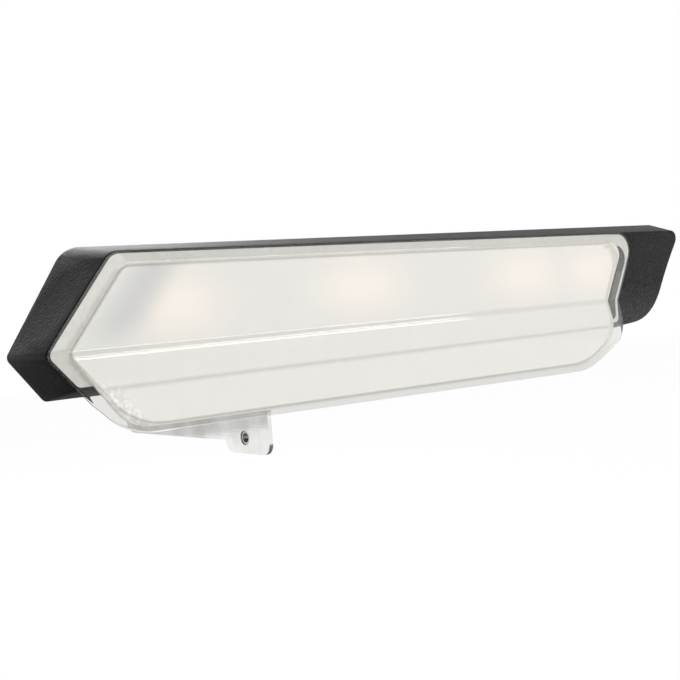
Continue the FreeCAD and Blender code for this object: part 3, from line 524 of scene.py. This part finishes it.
phosphor, tree, output, place = new_material("phosphor_window")
powder = add(
    tree, "ShaderNodeTexNoise", {"Scale": pattern(0.25), "Detail": 2.0}, {"Vector": place}
).outputs[0]
yellow = add(
    tree, "ShaderNodeValToRGB", {"stops": [(0.35, "#e8c24a"), (0.65, "#f3d872")]}, {"Fac": powder}
).outputs[0]
dry = add(tree, "ShaderNodeMapRange", {"To Min": 0.3, "To Max": 0.5}, {"Value": powder}).outputs[0]
shader = add(
    tree, "ShaderNodeBsdfPrincipled", {"IOR": 1.5}, {"Base Color": yellow, "Roughness": dry}
)
tree.links.new(shader.outputs[0], output.inputs[0])
finishes["led_package"] = phosphor
print("finishes", len(finishes))

# %% [markdown]
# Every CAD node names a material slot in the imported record, such as "zinc_screw". The finishes
# above use the same names, so one loop dresses the whole frame.

# %% Dress the frame
for node in nodes.values():
    for slot in node.material_slots:
        slot.material = finishes[slot.material.name.split(".")[0]]
print("dressed", len(nodes), "CAD nodes")

# %% [markdown]
# Moulded edges are never knife sharp: the cutter that made the mould left a radius, and that
# radius catches a line of light. The CAD faces meet in sharp edges, so the housing is shown by a
# copy whose points are merged and whose edges are rounded by a Bevel modifier. The CAD node
# itself stays as it is.

# %% Softened copy of the housing
mesh = nodes["housing"].data.copy()
mesh.name = "housing_moulding"
soft_housing = bpy.data.objects.new("housing_moulding", mesh)
bpy.context.scene.collection.objects.link(soft_housing)
work = bmesh.new()
work.from_mesh(mesh)
bmesh.ops.remove_doubles(work, verts=work.verts, dist=0.002 * MM)
bmesh.ops.dissolve_limit(work, angle_limit=math.radians(0.5), verts=work.verts, edges=work.edges)
work.to_mesh(mesh)
work.free()
mesh.shade_smooth()
rounding = soft_housing.modifiers.new("rounding", "BEVEL")
rounding.width = 0.3 * MM
rounding.segments = 3
rounding.limit_method = "ANGLE"
rounding.angle_limit = math.radians(25)
rounding.harden_normals = True
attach(soft_housing, "root")
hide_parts("housing")
print("housing copy", len(mesh.vertices), "points")

# %% [markdown]
# The lens is a moulded cap. Its outline at the rim and the smaller outline of its face are
# polygons with rounded corners, and the bevel runs from one to the other. The depth of the cap at
# a point follows from two distances: to the rim's outline and to the face's outline. A crease and
# a groove change the depth with height, and a smooth minimum joins bevel and face in a soft edge.
# The inside repeats the outside one wall thickness further back, so the cap is hollow, as moulded
# lenses are.


# %% Outlines of the lens
def rounded_outline(corners, radii, steps=28):
    """Points of a polygon with rounded corners.

    At a corner of angle 2h the arc of radius r starts r / tan(h) along each edge, and its
    centre lies r / sin(h) along the line that halves the angle.
    """
    corners, radii = np.array(corners, float), np.array(radii, float)[:, None]
    before = np.roll(corners, 1, 0) - corners
    after = np.roll(corners, -1, 0) - corners
    before /= np.linalg.norm(before, axis=1, keepdims=True)
    after /= np.linalg.norm(after, axis=1, keepdims=True)
    half = np.arccos(np.clip((before * after).sum(1, keepdims=True), -1, 1)) / 2
    bisector = before + after
    bisector /= np.linalg.norm(bisector, axis=1, keepdims=True)
    centre = corners + bisector * radii / np.sin(half)
    first = corners + before * radii / np.tan(half) - centre
    last = corners + after * radii / np.tan(half) - centre
    swing = np.pi - 2 * half
    share = np.linspace(0, 1, steps)[None, :]
    weight_first = np.sin((1 - share) * swing) / np.sin(swing)
    weight_last = np.sin(share * swing) / np.sin(swing)
    arcs = weight_first[..., None] * first[:, None] + weight_last[..., None] * last[:, None]
    return (centre[:, None] + arcs).reshape(-1, 2)


# corners as x, z in millimetres, clockwise from the top left, and their radii
RIM_CORNERS = [
    (-178.0, 38.3),
    (163.5, 38.3),
    (142.5, 0),
    (148.5, -20),
    (112, -37.2),
    (-178.0, -33.4),
    (-209.1, 0),
]
FACE_CORNERS = [
    (-175.2, 32.3),
    (143, 32.3),
    (127, 0),
    (133, -17.96),
    (105.8, -32.44),
    (-175.76, -30),
    (-200.8, 0),
]
CORNER_RADII = [8, 10, 3, 14, 50, 30, 3]
rim = rounded_outline(RIM_CORNERS, CORNER_RADII)
face = rounded_outline(FACE_CORNERS, CORNER_RADII)
print("outline points", len(rim), len(face))

# %% [markdown]
# How far a point lies inside an outline decides whether it belongs to the bevel or to the face.
# Each outline is a closed chain of short straight pieces, so plain geometry gives the distance
# without a search in a mesh. The width of the widest bevel is a first test of it.


# %% Distances to an outline
def distance(points, outline):
    """Signed distance in the plane, positive inside.

    The nearest point of each straight piece gives the distance; a point is inside where a ray
    to the right crosses the outline an odd number of times.
    """
    start, end = outline, np.roll(outline, -1, 0)
    run = end - start
    out = []
    for rows in np.array_split(points, max(1, len(points) // 4000)):
        apart = rows[:, None] - start
        along = np.clip((apart * run).sum(2) / (run * run).sum(1), 0, 1)
        nearest = np.linalg.norm(apart - along[..., None] * run, axis=2).min(1)
        spans = (start[:, 1] > rows[:, 1:]) != (end[:, 1] > rows[:, 1:])
        rise = np.where(run[:, 1] == 0, 1e-9, run[:, 1])
        crossing = start[:, 0] + (rows[:, 1:] - start[:, 1]) * run[:, 0] / rise
        odd = (spans & (rows[:, :1] < crossing)).sum(1) % 2
        out.append(np.where(odd == 1, nearest, -nearest))
    return np.concatenate(out)


print("widest bevel in mm", round(float(distance(face, rim).max()), 1))

# %% [markdown]
# The grid of the cap has rows across the lamp. Rows above the chin are level; lower rows swing
# round until the last one lies along the slanted bottom edge. Each row runs from the left outline
# to the right one, with close columns over the bevels and close rows over bevels, crease and
# groove.

# %% Grid of the lens
SWING_FROM, SWING_OVER = -20.0, 17.2
bottom_slope = (RIM_CORNERS[4][1] - RIM_CORNERS[5][1]) / (RIM_CORNERS[4][0] - RIM_CORNERS[5][0])


def bottom(x):
    """Height of the slanted bottom edge, carried on to both sides."""
    return RIM_CORNERS[5][1] + bottom_slope * (x - RIM_CORNERS[5][0])


def level_of(x, z):
    """Row value of a point: its height, stretched low down so that the slanted edge is level."""
    low = SWING_FROM - (SWING_FROM - z) / (SWING_FROM - bottom(x)) * SWING_OVER
    return np.where(z < SWING_FROM, low, z)


def height_of(x, level):
    """Height of a point on a row, the inverse of level_of."""
    low = SWING_FROM - (SWING_FROM - level) / SWING_OVER * (SWING_FROM - bottom(x))
    return np.where(level < SWING_FROM, low, level)


rim_level = level_of(rim[:, 0], rim[:, 1])
top, base = rim_level.max(), rim_level.min()
levels = np.concatenate(
    [
        top - (top - 30) * np.linspace(0.02, 1, 44)[:-1] ** 2,  # top bevel
        np.linspace(30, 2.4, 16)[:-1],  # upper face
        np.linspace(2.4, -3.2, 34)[:-1],  # crease
        np.linspace(-3.2, -12, 8)[:-1],  # middle face
        np.linspace(-12, -16.4, 25)[:-1],  # groove
        np.linspace(-16.4, -31, 34)[:-1],  # chin
        base + (-31 - base) * np.linspace(1, 0.02, 40) ** 2,  # bottom bevel
    ]
)
level_end = np.roll(rim_level, -1)
x_end = np.roll(rim[:, 0], -1)
crosses = (rim_level > levels[:, None]) != (level_end > levels[:, None])
rise = np.where(level_end == rim_level, 1e-9, level_end - rim_level)
cross_x = rim[:, 0] + (levels[:, None] - rim_level) / rise * (x_end - rim[:, 0])
left_x = np.where(crosses, cross_x, np.inf).min(1)[:, None]
right_x = np.where(crosses, cross_x, -np.inf).max(1)[:, None]
LEFT_CLOSE, RIGHT_CLOSE = 14.0, 24.0  # width of the close columns at each end
share = np.concatenate(
    [np.linspace(0, 1, 40)[:-1], np.linspace(1, 2, 60)[:-1], np.linspace(2, 3, 60)]
)[None, :]
wide = right_x - left_x
near, far = np.minimum(LEFT_CLOSE, wide * 0.2), np.minimum(RIGHT_CLOSE, wide * 0.3)
middle = left_x + near + (wide - near - far) * (share - 1)
x = np.where(share < 2, middle, right_x - far * (3 - share))
x = np.where(share < 1, left_x + near * share, x)
z = height_of(x, levels[:, None] + np.zeros_like(x))
print("lens grid", x.shape)

# %% [markdown]
# Now the depth of each grid point. The bevel rises from the rim to the face; the face stands at
# two levels with a sloped ledge between them, and a narrow flat chamfer along the ledge's lower
# edge catches a line of light; the groove is a shallow V. Both joints are softened.

# %% Depth of the lens
# millimetres: the crease is a ledge across z 0, EDGE the rim's thickness, SOFT the blend
LENS_DEPTH, LEDGE, LEDGE_HALF = 4.48, 0.76, 1.6
GROOVE_Z, GROOVE_HALF, GROOVE_DEPTH = -14.2, 1.4, 0.1
GLINT_WIDE, GLINT_SLOPE = 0.7, 0.2
EDGE, WALL, SOFT = 0.7, 1.2, 0.35


def soft_min(a, b, width):
    """The smaller of two numbers, blended where they differ by less than width."""
    h = np.clip(0.5 + 0.5 * (b - a) / width, 0, 1)
    return b + (a - b) * h - width * h * (1 - h)


spots = np.stack([x.ravel(), z.ravel()], 1)
inside_rim = np.maximum(distance(spots, rim), 0).reshape(x.shape)
outside_face = -distance(spots, face).reshape(x.shape)
bevel = EDGE + (LENS_DEPTH - EDGE) * inside_rim / np.maximum(inside_rim + outside_face, 0.3)
bevel = np.where(outside_face < -0.8 * inside_rim, 3 * LENS_DEPTH, bevel)
climb = np.clip((z + LEDGE_HALF) / (2 * LEDGE_HALF), 0, 1)
flat = LENS_DEPTH - LEDGE * climb * climb * (3 - 2 * climb)
flat = flat - GLINT_SLOPE * np.clip(z + LEDGE_HALF + GLINT_WIDE, 0, GLINT_WIDE)
vee = 0.5 + 0.5 * np.cos(np.pi * np.clip((z - GROOVE_Z) / GROOVE_HALF, -1, 1))
ends = np.clip(-outside_face / 3.0, 0, 1)
flat = flat - GROOVE_DEPTH * vee * ends
depth = soft_min(bevel, flat, SOFT)
hollow = -soft_min(-(depth - WALL), np.zeros_like(depth), SOFT)
hollow[[0, -1], :] = 0
hollow[:, [0, -1]] = 0
# painted shade of the lens, stored below as its shade attribute: bevels, face edges, groove, ledge
in_bevel = np.clip((outside_face + 0.4) / 1.6, 0, 1)
face_edge = np.exp(-(((outside_face + 0.1) / 0.5) ** 2))
groove_line = np.exp(-(((z - GROOVE_Z) / 0.9) ** 2)) * ends
ledge_band = np.clip(1.3 - np.abs(z) / LEDGE_HALF, 0, 1)
shade = np.max([0.5 * in_bevel, 0.85 * face_edge, 0.5 * groove_line, 0.3 * ledge_band], axis=0)
print("depth in mm", round(float(depth.min()), 2), round(float(depth.max()), 2))

# %% [markdown]
# Two sheets of quads make the cap, the outside facing forwards and the inside facing back, and a
# narrow wall joins them along the rim. The back stands a tenth of a millimetre in front of the
# CAD lens's rear plane, so that no two faces lie in the same place.

# %% Mesh of the lens
RIM_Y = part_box("outer_lens")[1].y
CLEARANCE = 0.1 * MM


def sheet_points(depths):
    """Grid points of one sheet as rows of x, y, z in metres."""
    return np.stack([x * MM, RIM_Y - CLEARANCE - depths * MM, z * MM], 2).reshape(-1, 3)


index = np.arange(x.size).reshape(x.shape)
quads = np.stack([index[:-1, :-1], index[1:, :-1], index[1:, 1:], index[:-1, 1:]], 2).reshape(-1, 4)
edge_loop = np.concatenate(
    [index[0, :-1], index[:-1, -1], index[-1, :0:-1], index[:0:-1, 0]]
)
step = np.roll(edge_loop, -1)
skirt = np.stack([edge_loop, step, step + x.size, edge_loop + x.size], 1)
points = np.concatenate([sheet_points(depth), sheet_points(hollow)])
faces = np.concatenate([quads, quads[:, ::-1] + x.size, skirt])
mesh = bpy.data.meshes.new("lens_cap")
mesh.from_pydata(points.tolist(), [], faces.tolist())
work = bmesh.new()
work.from_mesh(mesh)
bmesh.ops.recalc_face_normals(work, faces=work.faces)
work.to_mesh(mesh)
work.free()
mesh.shade_smooth()
mesh.set_sharp_from_angle(angle=math.radians(40))
stored = mesh.attributes.new("shade", "FLOAT", "POINT")
stored.data.foreach_set("value", np.tile(shade.ravel(), 2).astype(np.float32))
lens_cap = bpy.data.objects.new("lens_cap", mesh)
bpy.context.scene.collection.objects.link(lens_cap)
mesh.materials.append(finishes["clear_acrylic"])
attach(lens_cap, "root")
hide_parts("outer_lens")
print("lens cap", len(mesh.polygons), "faces")

# %% [markdown]
# The small parts are grids that close round an axis: a row of the grid is a ring, its columns are
# the angles. One function turns such grids into an object; where a ring shrinks to a point its
# corners are merged.


# %% Objects from ring grids
def around(spot, axis, radius, along, angle):
    """Points in metres at a radius, a way along an axis and an angle about it, in millimetres."""
    axis = np.array(axis, float)
    side = np.cross(axis, (0.0, 0.0, 1.0) if abs(axis[2]) < 0.9 else (1.0, 0.0, 0.0))
    other = np.cross(axis, side)
    radius, along, angle = np.broadcast_arrays(radius, along, angle)
    ring = np.cos(angle)[..., None] * side + np.sin(angle)[..., None] * other
    return (np.array(spot, float) + radius[..., None] * ring + along[..., None] * axis) * MM


def ring_object(name, grids, slot, replaced=None, tube=False):
    """One object from grids of rings; a tube's last ring also joins its first."""
    points, quads, first = [], [], 0
    for grid in grids:
        rows, columns = grid.shape[:2]
        index = first + np.arange(rows * columns).reshape(rows, columns)
        index = np.concatenate([index, index[:, :1]], 1)
        if tube:
            index = np.concatenate([index, index[:1]], 0)
        corners = [index[:-1, :-1], index[1:, :-1], index[1:, 1:], index[:-1, 1:]]
        quads.append(np.stack(corners, 2).reshape(-1, 4))
        points.append(grid.reshape(-1, 3))
        first += rows * columns
    mesh = bpy.data.meshes.new(name)
    mesh.from_pydata(np.concatenate(points).tolist(), [], np.concatenate(quads).tolist())
    work = bmesh.new()
    work.from_mesh(mesh)
    bmesh.ops.remove_doubles(work, verts=work.verts, dist=0.001 * MM)
    bmesh.ops.recalc_face_normals(work, faces=work.faces)
    work.to_mesh(mesh)
    work.free()
    mesh.shade_smooth()
    mesh.set_sharp_from_angle(angle=math.radians(35))
    piece = bpy.data.objects.new(name, mesh)
    bpy.context.scene.collection.objects.link(piece)
    mesh.materials.append(finishes[slot])
    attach(piece, "root")
    if replaced:
        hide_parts(replaced)
    print(name, len(mesh.polygons), "faces")


# %% [markdown]
# A pan-head screw is cold-headed and its thread is rolled. Its outline is a profile turned about
# the axis: a domed head, a plain seat, then a shank. The cross recess is pressed into the dome:
# inside a cross of two bars the surface sinks towards the middle.


# %% Screws with a cross recess
def screw(spot, axis, head_r, head_h, shank_r, length):
    """Ring grid of one screw, its seat at the spot and its head along the axis.

    The head's height falls with the square of the radius; the recess is as deep as the smaller
    distance to the edge of either bar allows.
    """
    angle = np.linspace(0, 2 * np.pi, 48, endpoint=False)[None, :]
    share = np.linspace(0, 1, 19)[:, None]
    top_r = head_r * share
    dome = head_h - 0.3 * head_h * share**2
    u, v = np.abs(top_r * np.cos(angle)), np.abs(top_r * np.sin(angle))
    bar, reach = 0.17 * head_r, 0.62 * head_r
    one = np.minimum(bar - u, reach - v)
    two = np.minimum(bar - v, reach - u)
    sink = np.clip(np.maximum(one, two) / (0.1 * head_r), 0, 1) * 0.5 * head_h
    head = around(spot, axis, top_r, dome - sink, angle)
    rest_r = np.array([head_r, shank_r, shank_r, 0.5 * shank_r, 0.0])[:, None]
    rest_h = np.array([0.0, 0.0, 1.0 - length, -length + 0.3, -length + 0.3])[:, None]
    return np.concatenate([head, around(spot, axis, rest_r, rest_h, angle)], 0)


cover_spots = [(-172, 0, 32.6), (152, 0, 32.6), (-187, 0, -9.6), (152, 0, -9.6)]
foot_spots = [(-92, -17, -22), (-92, -8, -22)]
ring_object(
    "cover_screw_set",
    [
        screw(spot, (0, 1, 0), head_r=2.8, head_h=1.8, shank_r=1.35, length=10.9)
        for spot in cover_spots
    ],
    "zinc_screw",
    "cover_screws",
)
ring_object(
    "bracket_screw_set",
    [
        screw(spot, (0, 0, -1), head_r=3.6, head_h=2.4, shank_r=1.85, length=8.9)
        for spot in foot_spots
    ],
    "zinc_screw",
    "bracket_screws",
)

# %% [markdown]
# Inserts and nut are tapped. An inner thread is a bore whose radius swings along a helix: going
# once round the axis shifts the wave by one pitch. M5 has a pitch of 0.8 millimetres.


# %% Tapped threads
def thread(spot, axis, bore_r, length, pitch=0.8, deep=0.32):
    """Ring grid of a threaded sleeve: the waved bore one way, a plain outside back."""
    angle = np.linspace(0, 2 * np.pi, 36, endpoint=False)[None, :]
    along = np.linspace(0, length, int(length / pitch * 8))[:, None]
    wave = 0.5 + 0.5 * np.cos(2 * np.pi * along / pitch - angle)
    root, sunk = 0.02, 0.1  # how far the thread's roots and the sleeve lie in the wall
    inner = around(spot, axis, bore_r + root - deep * wave, along, angle)
    outer = around(spot, axis, bore_r + sunk, np.array([length, 0.0])[:, None], angle)
    return np.concatenate([inner, outer], 0)


M5_CORE_R = 2.1
ring_object(
    "insert_threads",
    [thread((x_mm, -0.4, 0), (0, -1, 0), M5_CORE_R, 6.2) for x_mm in (-110, 110)],
    "brass_insert",
    tube=True,
)
ring_object(
    "nut_thread", [thread((-107.2, -6, -45), (1, 0, 0), M5_CORE_R, 4.4)], "nut_steel", tube=True
)

# %% [markdown]
# The breather is a small moulded cap with a ribbed side, so that fingers can press it in, and a
# ring on its top. The cover at the rear is stiffened by low ribs, and the plug socket has two
# ribs that keep a plug from going in the wrong way round. A rib is a long rounded bead, half of
# it sunk in its part.

# %% Breather, ribs and keys
angle = np.linspace(0, 2 * np.pi, 144, endpoint=False)[None, :]
cap_r = np.array([0, 2.4, 2.7, 3.3, 3.6, 4.9, 5.6, 6.0, 6.0, 2.45, 2.45, 0])[:, None]
cap_h = np.array([2.85, 2.85, 2.6, 2.6, 2.85, 2.85, 2.6, 2.0, 0.02, 0.02, -2.55, -2.55])[:, None]
ribbed = ((cap_r > 5.5) * 0.3) * (0.5 - 0.5 * np.cos(24 * angle))
ring_object(
    "breather_cap",
    [around((-30, 0, 24), (0, 1, 0), cap_r - ribbed, cap_h + 0 * angle, angle)],
    "vent_plastic",
    "vent_cap",
)


def bead(start, end, up, wide, high):
    """Ring grid of a rounded rib between two points, its ends drawn in like a half circle."""
    start, end, up = (np.array(p, float) for p in (start, end, up))
    run = end - start
    length = np.linalg.norm(run)
    run /= length
    across = np.cross(run, up)
    turn = np.linspace(0, np.pi / 2, 7)
    drawn_in = (1 - np.cos(turn)) * wide
    along = np.concatenate([drawn_in, length - drawn_in[::-1]])[:, None, None]
    full = np.concatenate([np.sin(turn), np.sin(turn[::-1])])[:, None, None]
    angle = np.linspace(0, 2 * np.pi, 16, endpoint=False)[None, :, None]
    ring = wide / 2 * np.cos(angle) * across + high * np.sin(angle) * up
    return (start + along * run + full * ring) * MM


RIB = ((0, 1, 0), 1.8, 0.7)  # direction, width and height
KEY = ((0, 0, 1), 1.8, 0.9)
long_ribs = [bead((-155, 0, z_mm), (135, 0, z_mm), *RIB) for z_mm in (36.5, -11.5)]
short_ribs = [bead((x_mm, 0, -9), (x_mm, 0, 34), *RIB) for x_mm in (-150, -75, 10, 65, 130)]
ring_object("cover_ribs", long_ribs + short_ribs, "smooth_black_plastic")
keys = [bead((x_mm, 2, 19), (x_mm, 15, 19), *KEY) for x_mm in (94, 106)]
ring_object("socket_keys", keys, "socket_plastic")

# %% [markdown]
# The stage is a pale floor well below the lamp, a white surround and three soft lamps at a plain
# level. Floor and surround need to know what a ray is for. Two small functions combine the
# answers of the Light Path node: a ray from the camera, a mirror or the clear lens is meant to
# see white, and a ray sent on by a mirror alone may see a dimmer studio, which gives metal its
# contrast.


# %% Kinds of rays
def seen_ray(tree, path):
    """1 for a ray of the camera, of a mirror or through the lens, 0 for one that carries light."""
    seen = add(
        tree,
        "ShaderNodeMath",
        {"operation": "MAXIMUM"},
        {0: path.outputs["Is Camera Ray"], 1: path.outputs["Is Transmission Ray"]},
    ).outputs[0]
    return add(
        tree,
        "ShaderNodeMath",
        {"operation": "MAXIMUM"},
        {0: seen, 1: path.outputs["Is Glossy Ray"]},
    ).outputs[0]


def mirror_ray(tree, path):
    """1 for a ray sent on by a mirror-like surface, 0 for one that went through the lens."""
    return add(
        tree,
        "ShaderNodeMath",
        {"operation": "SUBTRACT", "use_clamp": True},
        {0: path.outputs["Is Glossy Ray"], 1: path.outputs["Is Transmission Ray"]},
    ).outputs[0]


print("ray helpers ready")

# %% [markdown]
# The floor is white paper. Most of what the camera sees of it is an even white, and a small share
# is the paper itself, which keeps the lamp's shadow. In mirrors the paper carries a painted shade
# near the lamp and is greyer from 1.7 m behind it. Both were set for the reflections in the
# bracket.

# %% Floor
FLOOR_HALF, FLOOR_DROP = 4.0, 0.22  # metres from the middle, and below the lamp
level = cad_low.z - FLOOR_DROP
corners = [(-1, -1), (1, -1), (1, 1), (-1, 1)]
floor_mesh = bpy.data.meshes.new("studio_floor")
floor_mesh.from_pydata(
    [(across * FLOOR_HALF, deep * FLOOR_HALF, level) for across, deep in corners],
    [],
    [(0, 1, 2, 3)],
)
floor = bpy.data.objects.new("studio_floor", floor_mesh)
bpy.context.scene.collection.objects.link(floor)
paper, tree, output, place = new_material("white_paper")
fibres = add(
    tree, "ShaderNodeTexNoise", {"Scale": pattern(40), "Detail": 2.0}, {"Vector": place}
).outputs[0]
white = add(
    tree, "ShaderNodeValToRGB", {"stops": [(0.3, "#f0f0f0"), (0.7, "#f3f3f3")]}, {"Fac": fibres}
).outputs[0]
matt = add(tree, "ShaderNodeBsdfPrincipled", {"Roughness": 0.9}, {"Base Color": white})
path = add(tree, "ShaderNodeLightPath")
seen = seen_ray(tree, path)
from_lamp = add(tree, "ShaderNodeVectorMath", {"operation": "LENGTH"}, {0: place}).outputs["Value"]
# painted shade: mirrors see the paper darker near the lamp
near_lamp = add(
    tree,
    "ShaderNodeMapRange",
    {"From Min": 0.5, "From Max": 1.3, "To Min": 0.15, "To Max": 1.0},
    {"Value": from_lamp},
).outputs[0]
far_paper = add(
    tree,
    "ShaderNodeMapRange",
    {"From Min": 1.7, "From Max": 1.76, "To Min": 1.0, "To Max": 0.66},
    {"Value": add(tree, "ShaderNodeSeparateXYZ", links={0: place}).outputs["Y"]},
).outputs[0]
in_mirror = add(tree, "ShaderNodeMath", {"operation": "MULTIPLY"}, {0: near_lamp, 1: far_paper})
level_seen = add(
    tree,
    "ShaderNodeMix",
    {"data_type": "FLOAT", 2: 1.0},
    {0: mirror_ray(tree, path), 3: in_mirror.outputs[0]},
).outputs[0]
glow_white = add(
    tree, "ShaderNodeEmission", {"Color": linear("#ffffff")}, {"Strength": level_seen}
)
WHITE_SHARE = 0.97  # the rest is paper with the lamp's shadow
share = add(tree, "ShaderNodeMath", {"operation": "MULTIPLY", 1: WHITE_SHARE}, {0: seen}).outputs[0]
both = add(
    tree, "ShaderNodeMixShader", links={0: share, 1: matt.outputs[0], 2: glow_white.outputs[0]}
)
tree.links.new(both.outputs[0], output.inputs[0])
floor.data.materials.append(paper)
print("stage floor at mm", round(level / MM, 1))

# %% [markdown]
# The surround is white at a strength of 1 for the camera and through the lens. The light that it
# throws on the lamp is weaker, so colours render about as written. Mirrors see a studio: light
# walls behind the lamp and to the right, a darker room in front and overhead.

# %% Surround
world = bpy.data.worlds.new("white_surround")
world.use_nodes = True
bpy.context.scene.world = world
tree = world.node_tree
tree.nodes.clear()
output = add(tree, "ShaderNodeOutputWorld")
path = add(tree, "ShaderNodeLightPath")
seen = seen_ray(tree, path)
outwards = add(tree, "ShaderNodeTexCoord").outputs["Generated"]
facing = add(tree, "ShaderNodeSeparateXYZ", links={0: outwards})
behind = add(
    tree,
    "ShaderNodeMapRange",
    {"From Min": -0.6, "From Max": 0.3, "To Min": 0.3, "To Max": 1.0, **SMOOTH},
    {"Value": facing.outputs["Y"]},
).outputs[0]
overhead = add(
    tree,
    "ShaderNodeMapRange",
    {"From Min": 0.25, "From Max": 0.6, "To Min": 1.0, "To Max": 0.15, **SMOOTH},
    {"Value": facing.outputs["Z"]},
).outputs[0]
walls = add(tree, "ShaderNodeMath", {"operation": "MULTIPLY"}, {0: behind, 1: overhead}).outputs[0]
front_right = add(
    tree,
    "ShaderNodeMapRange",
    {"From Min": 0.3, "From Max": 0.6, "To Min": 0.0, "To Max": 0.65, **SMOOTH},
    {"Value": facing.outputs["X"]},
).outputs[0]
walls = add(tree, "ShaderNodeMath", {"operation": "MAXIMUM"}, {0: walls, 1: front_right}).outputs[0]
mirrored = add(
    tree,
    "ShaderNodeMix",
    {"data_type": "FLOAT", 2: 1.0},
    {0: mirror_ray(tree, path), 3: walls},
).outputs[0]
LIGHT_LEVEL = 0.55  # strength of the surround as a light
lit = add(
    tree, "ShaderNodeMapRange", {"To Min": LIGHT_LEVEL, "To Max": 1.0}, {"Value": seen}
).outputs[0]
strength = add(tree, "ShaderNodeMath", {"operation": "MULTIPLY"}, {0: lit, 1: mirrored}).outputs[0]
surround = add(
    tree, "ShaderNodeBackground", {"Color": linear("#ffffff")}, {"Strength": strength}
)
tree.links.new(surround.outputs[0], output.inputs[0])
print("surround", world.name)

# %% [markdown]
# Three soft lamps: a broad one from the front and above, a narrow strip whose reflection draws
# the bright line along the lens's crease, and one from behind that lifts the housing's upper
# faces.


# %% Lamps
def softbox(name, spot, aim, width, tall, power):
    """An area lamp at a spot, turned to face a point; lengths in metres, power in watts."""
    data = bpy.data.lights.new(name, "AREA")
    data.shape = "RECTANGLE"
    data.size, data.size_y = width, tall
    data.energy = power
    lamp = bpy.data.objects.new(name, data)
    bpy.context.scene.collection.objects.link(lamp)
    direction = Vector(aim) - Vector(spot)
    turn = direction.to_track_quat("-Z", "Y").to_matrix().to_4x4()
    lamp.matrix_world = Matrix.Translation(spot) @ turn


softbox("key", (-0.2, -1.2, 1.5), (0, 0, 0), 1.8, 1.8, 16.0)
softbox("strip", (0.75, -1.3, 0.43), (0, 0, 0), 1.0, 0.16, 3.4)
softbox("rear", (0.25, 1.4, 0.95), (0, 0, 0), 1.2, 0.9, 18.0)
print("three lamps placed")

# %% [markdown]
# The camera stands to the front left, a little above the lamp, and is rolled by a few degrees, so
# the lamp rises to the right in the picture. Its three axes are worked out from those angles:
# backwards from the lamp to the camera, level to the right, and up as their cross product.

# %% Camera
AZIMUTH, ELEVATION, ROLL = (math.radians(v) for v in (-40.08, 2.06, -4.53))
TARGET = Vector((-43.65, 0.0, -6.78)) * MM
DISTANCE = 540 * MM
back = Vector(
    (
        math.sin(AZIMUTH) * math.cos(ELEVATION),
        -math.cos(AZIMUTH) * math.cos(ELEVATION),
        math.sin(ELEVATION),
    )
)
right = Vector((math.cos(AZIMUTH), math.sin(AZIMUTH), 0.0))
up = back.cross(right)
across = right * math.cos(ROLL) + up * math.sin(ROLL)
above = up * math.cos(ROLL) - right * math.sin(ROLL)
camera_data = bpy.data.cameras.new("photo_camera")
camera_data.sensor_width = 36.0
camera_data.lens = 59.29
camera = bpy.data.objects.new("photo_camera", camera_data)
bpy.context.scene.collection.objects.link(camera)
turn = Matrix((across, above, back)).transposed().to_4x4()
camera.matrix_world = Matrix.Translation(TARGET + back * DISTANCE) @ turn
bpy.context.scene.camera = camera
bpy.context.scene.view_settings.view_transform = "Standard"
print("camera at mm", [round(v / MM, 1) for v in camera.matrix_world.translation])
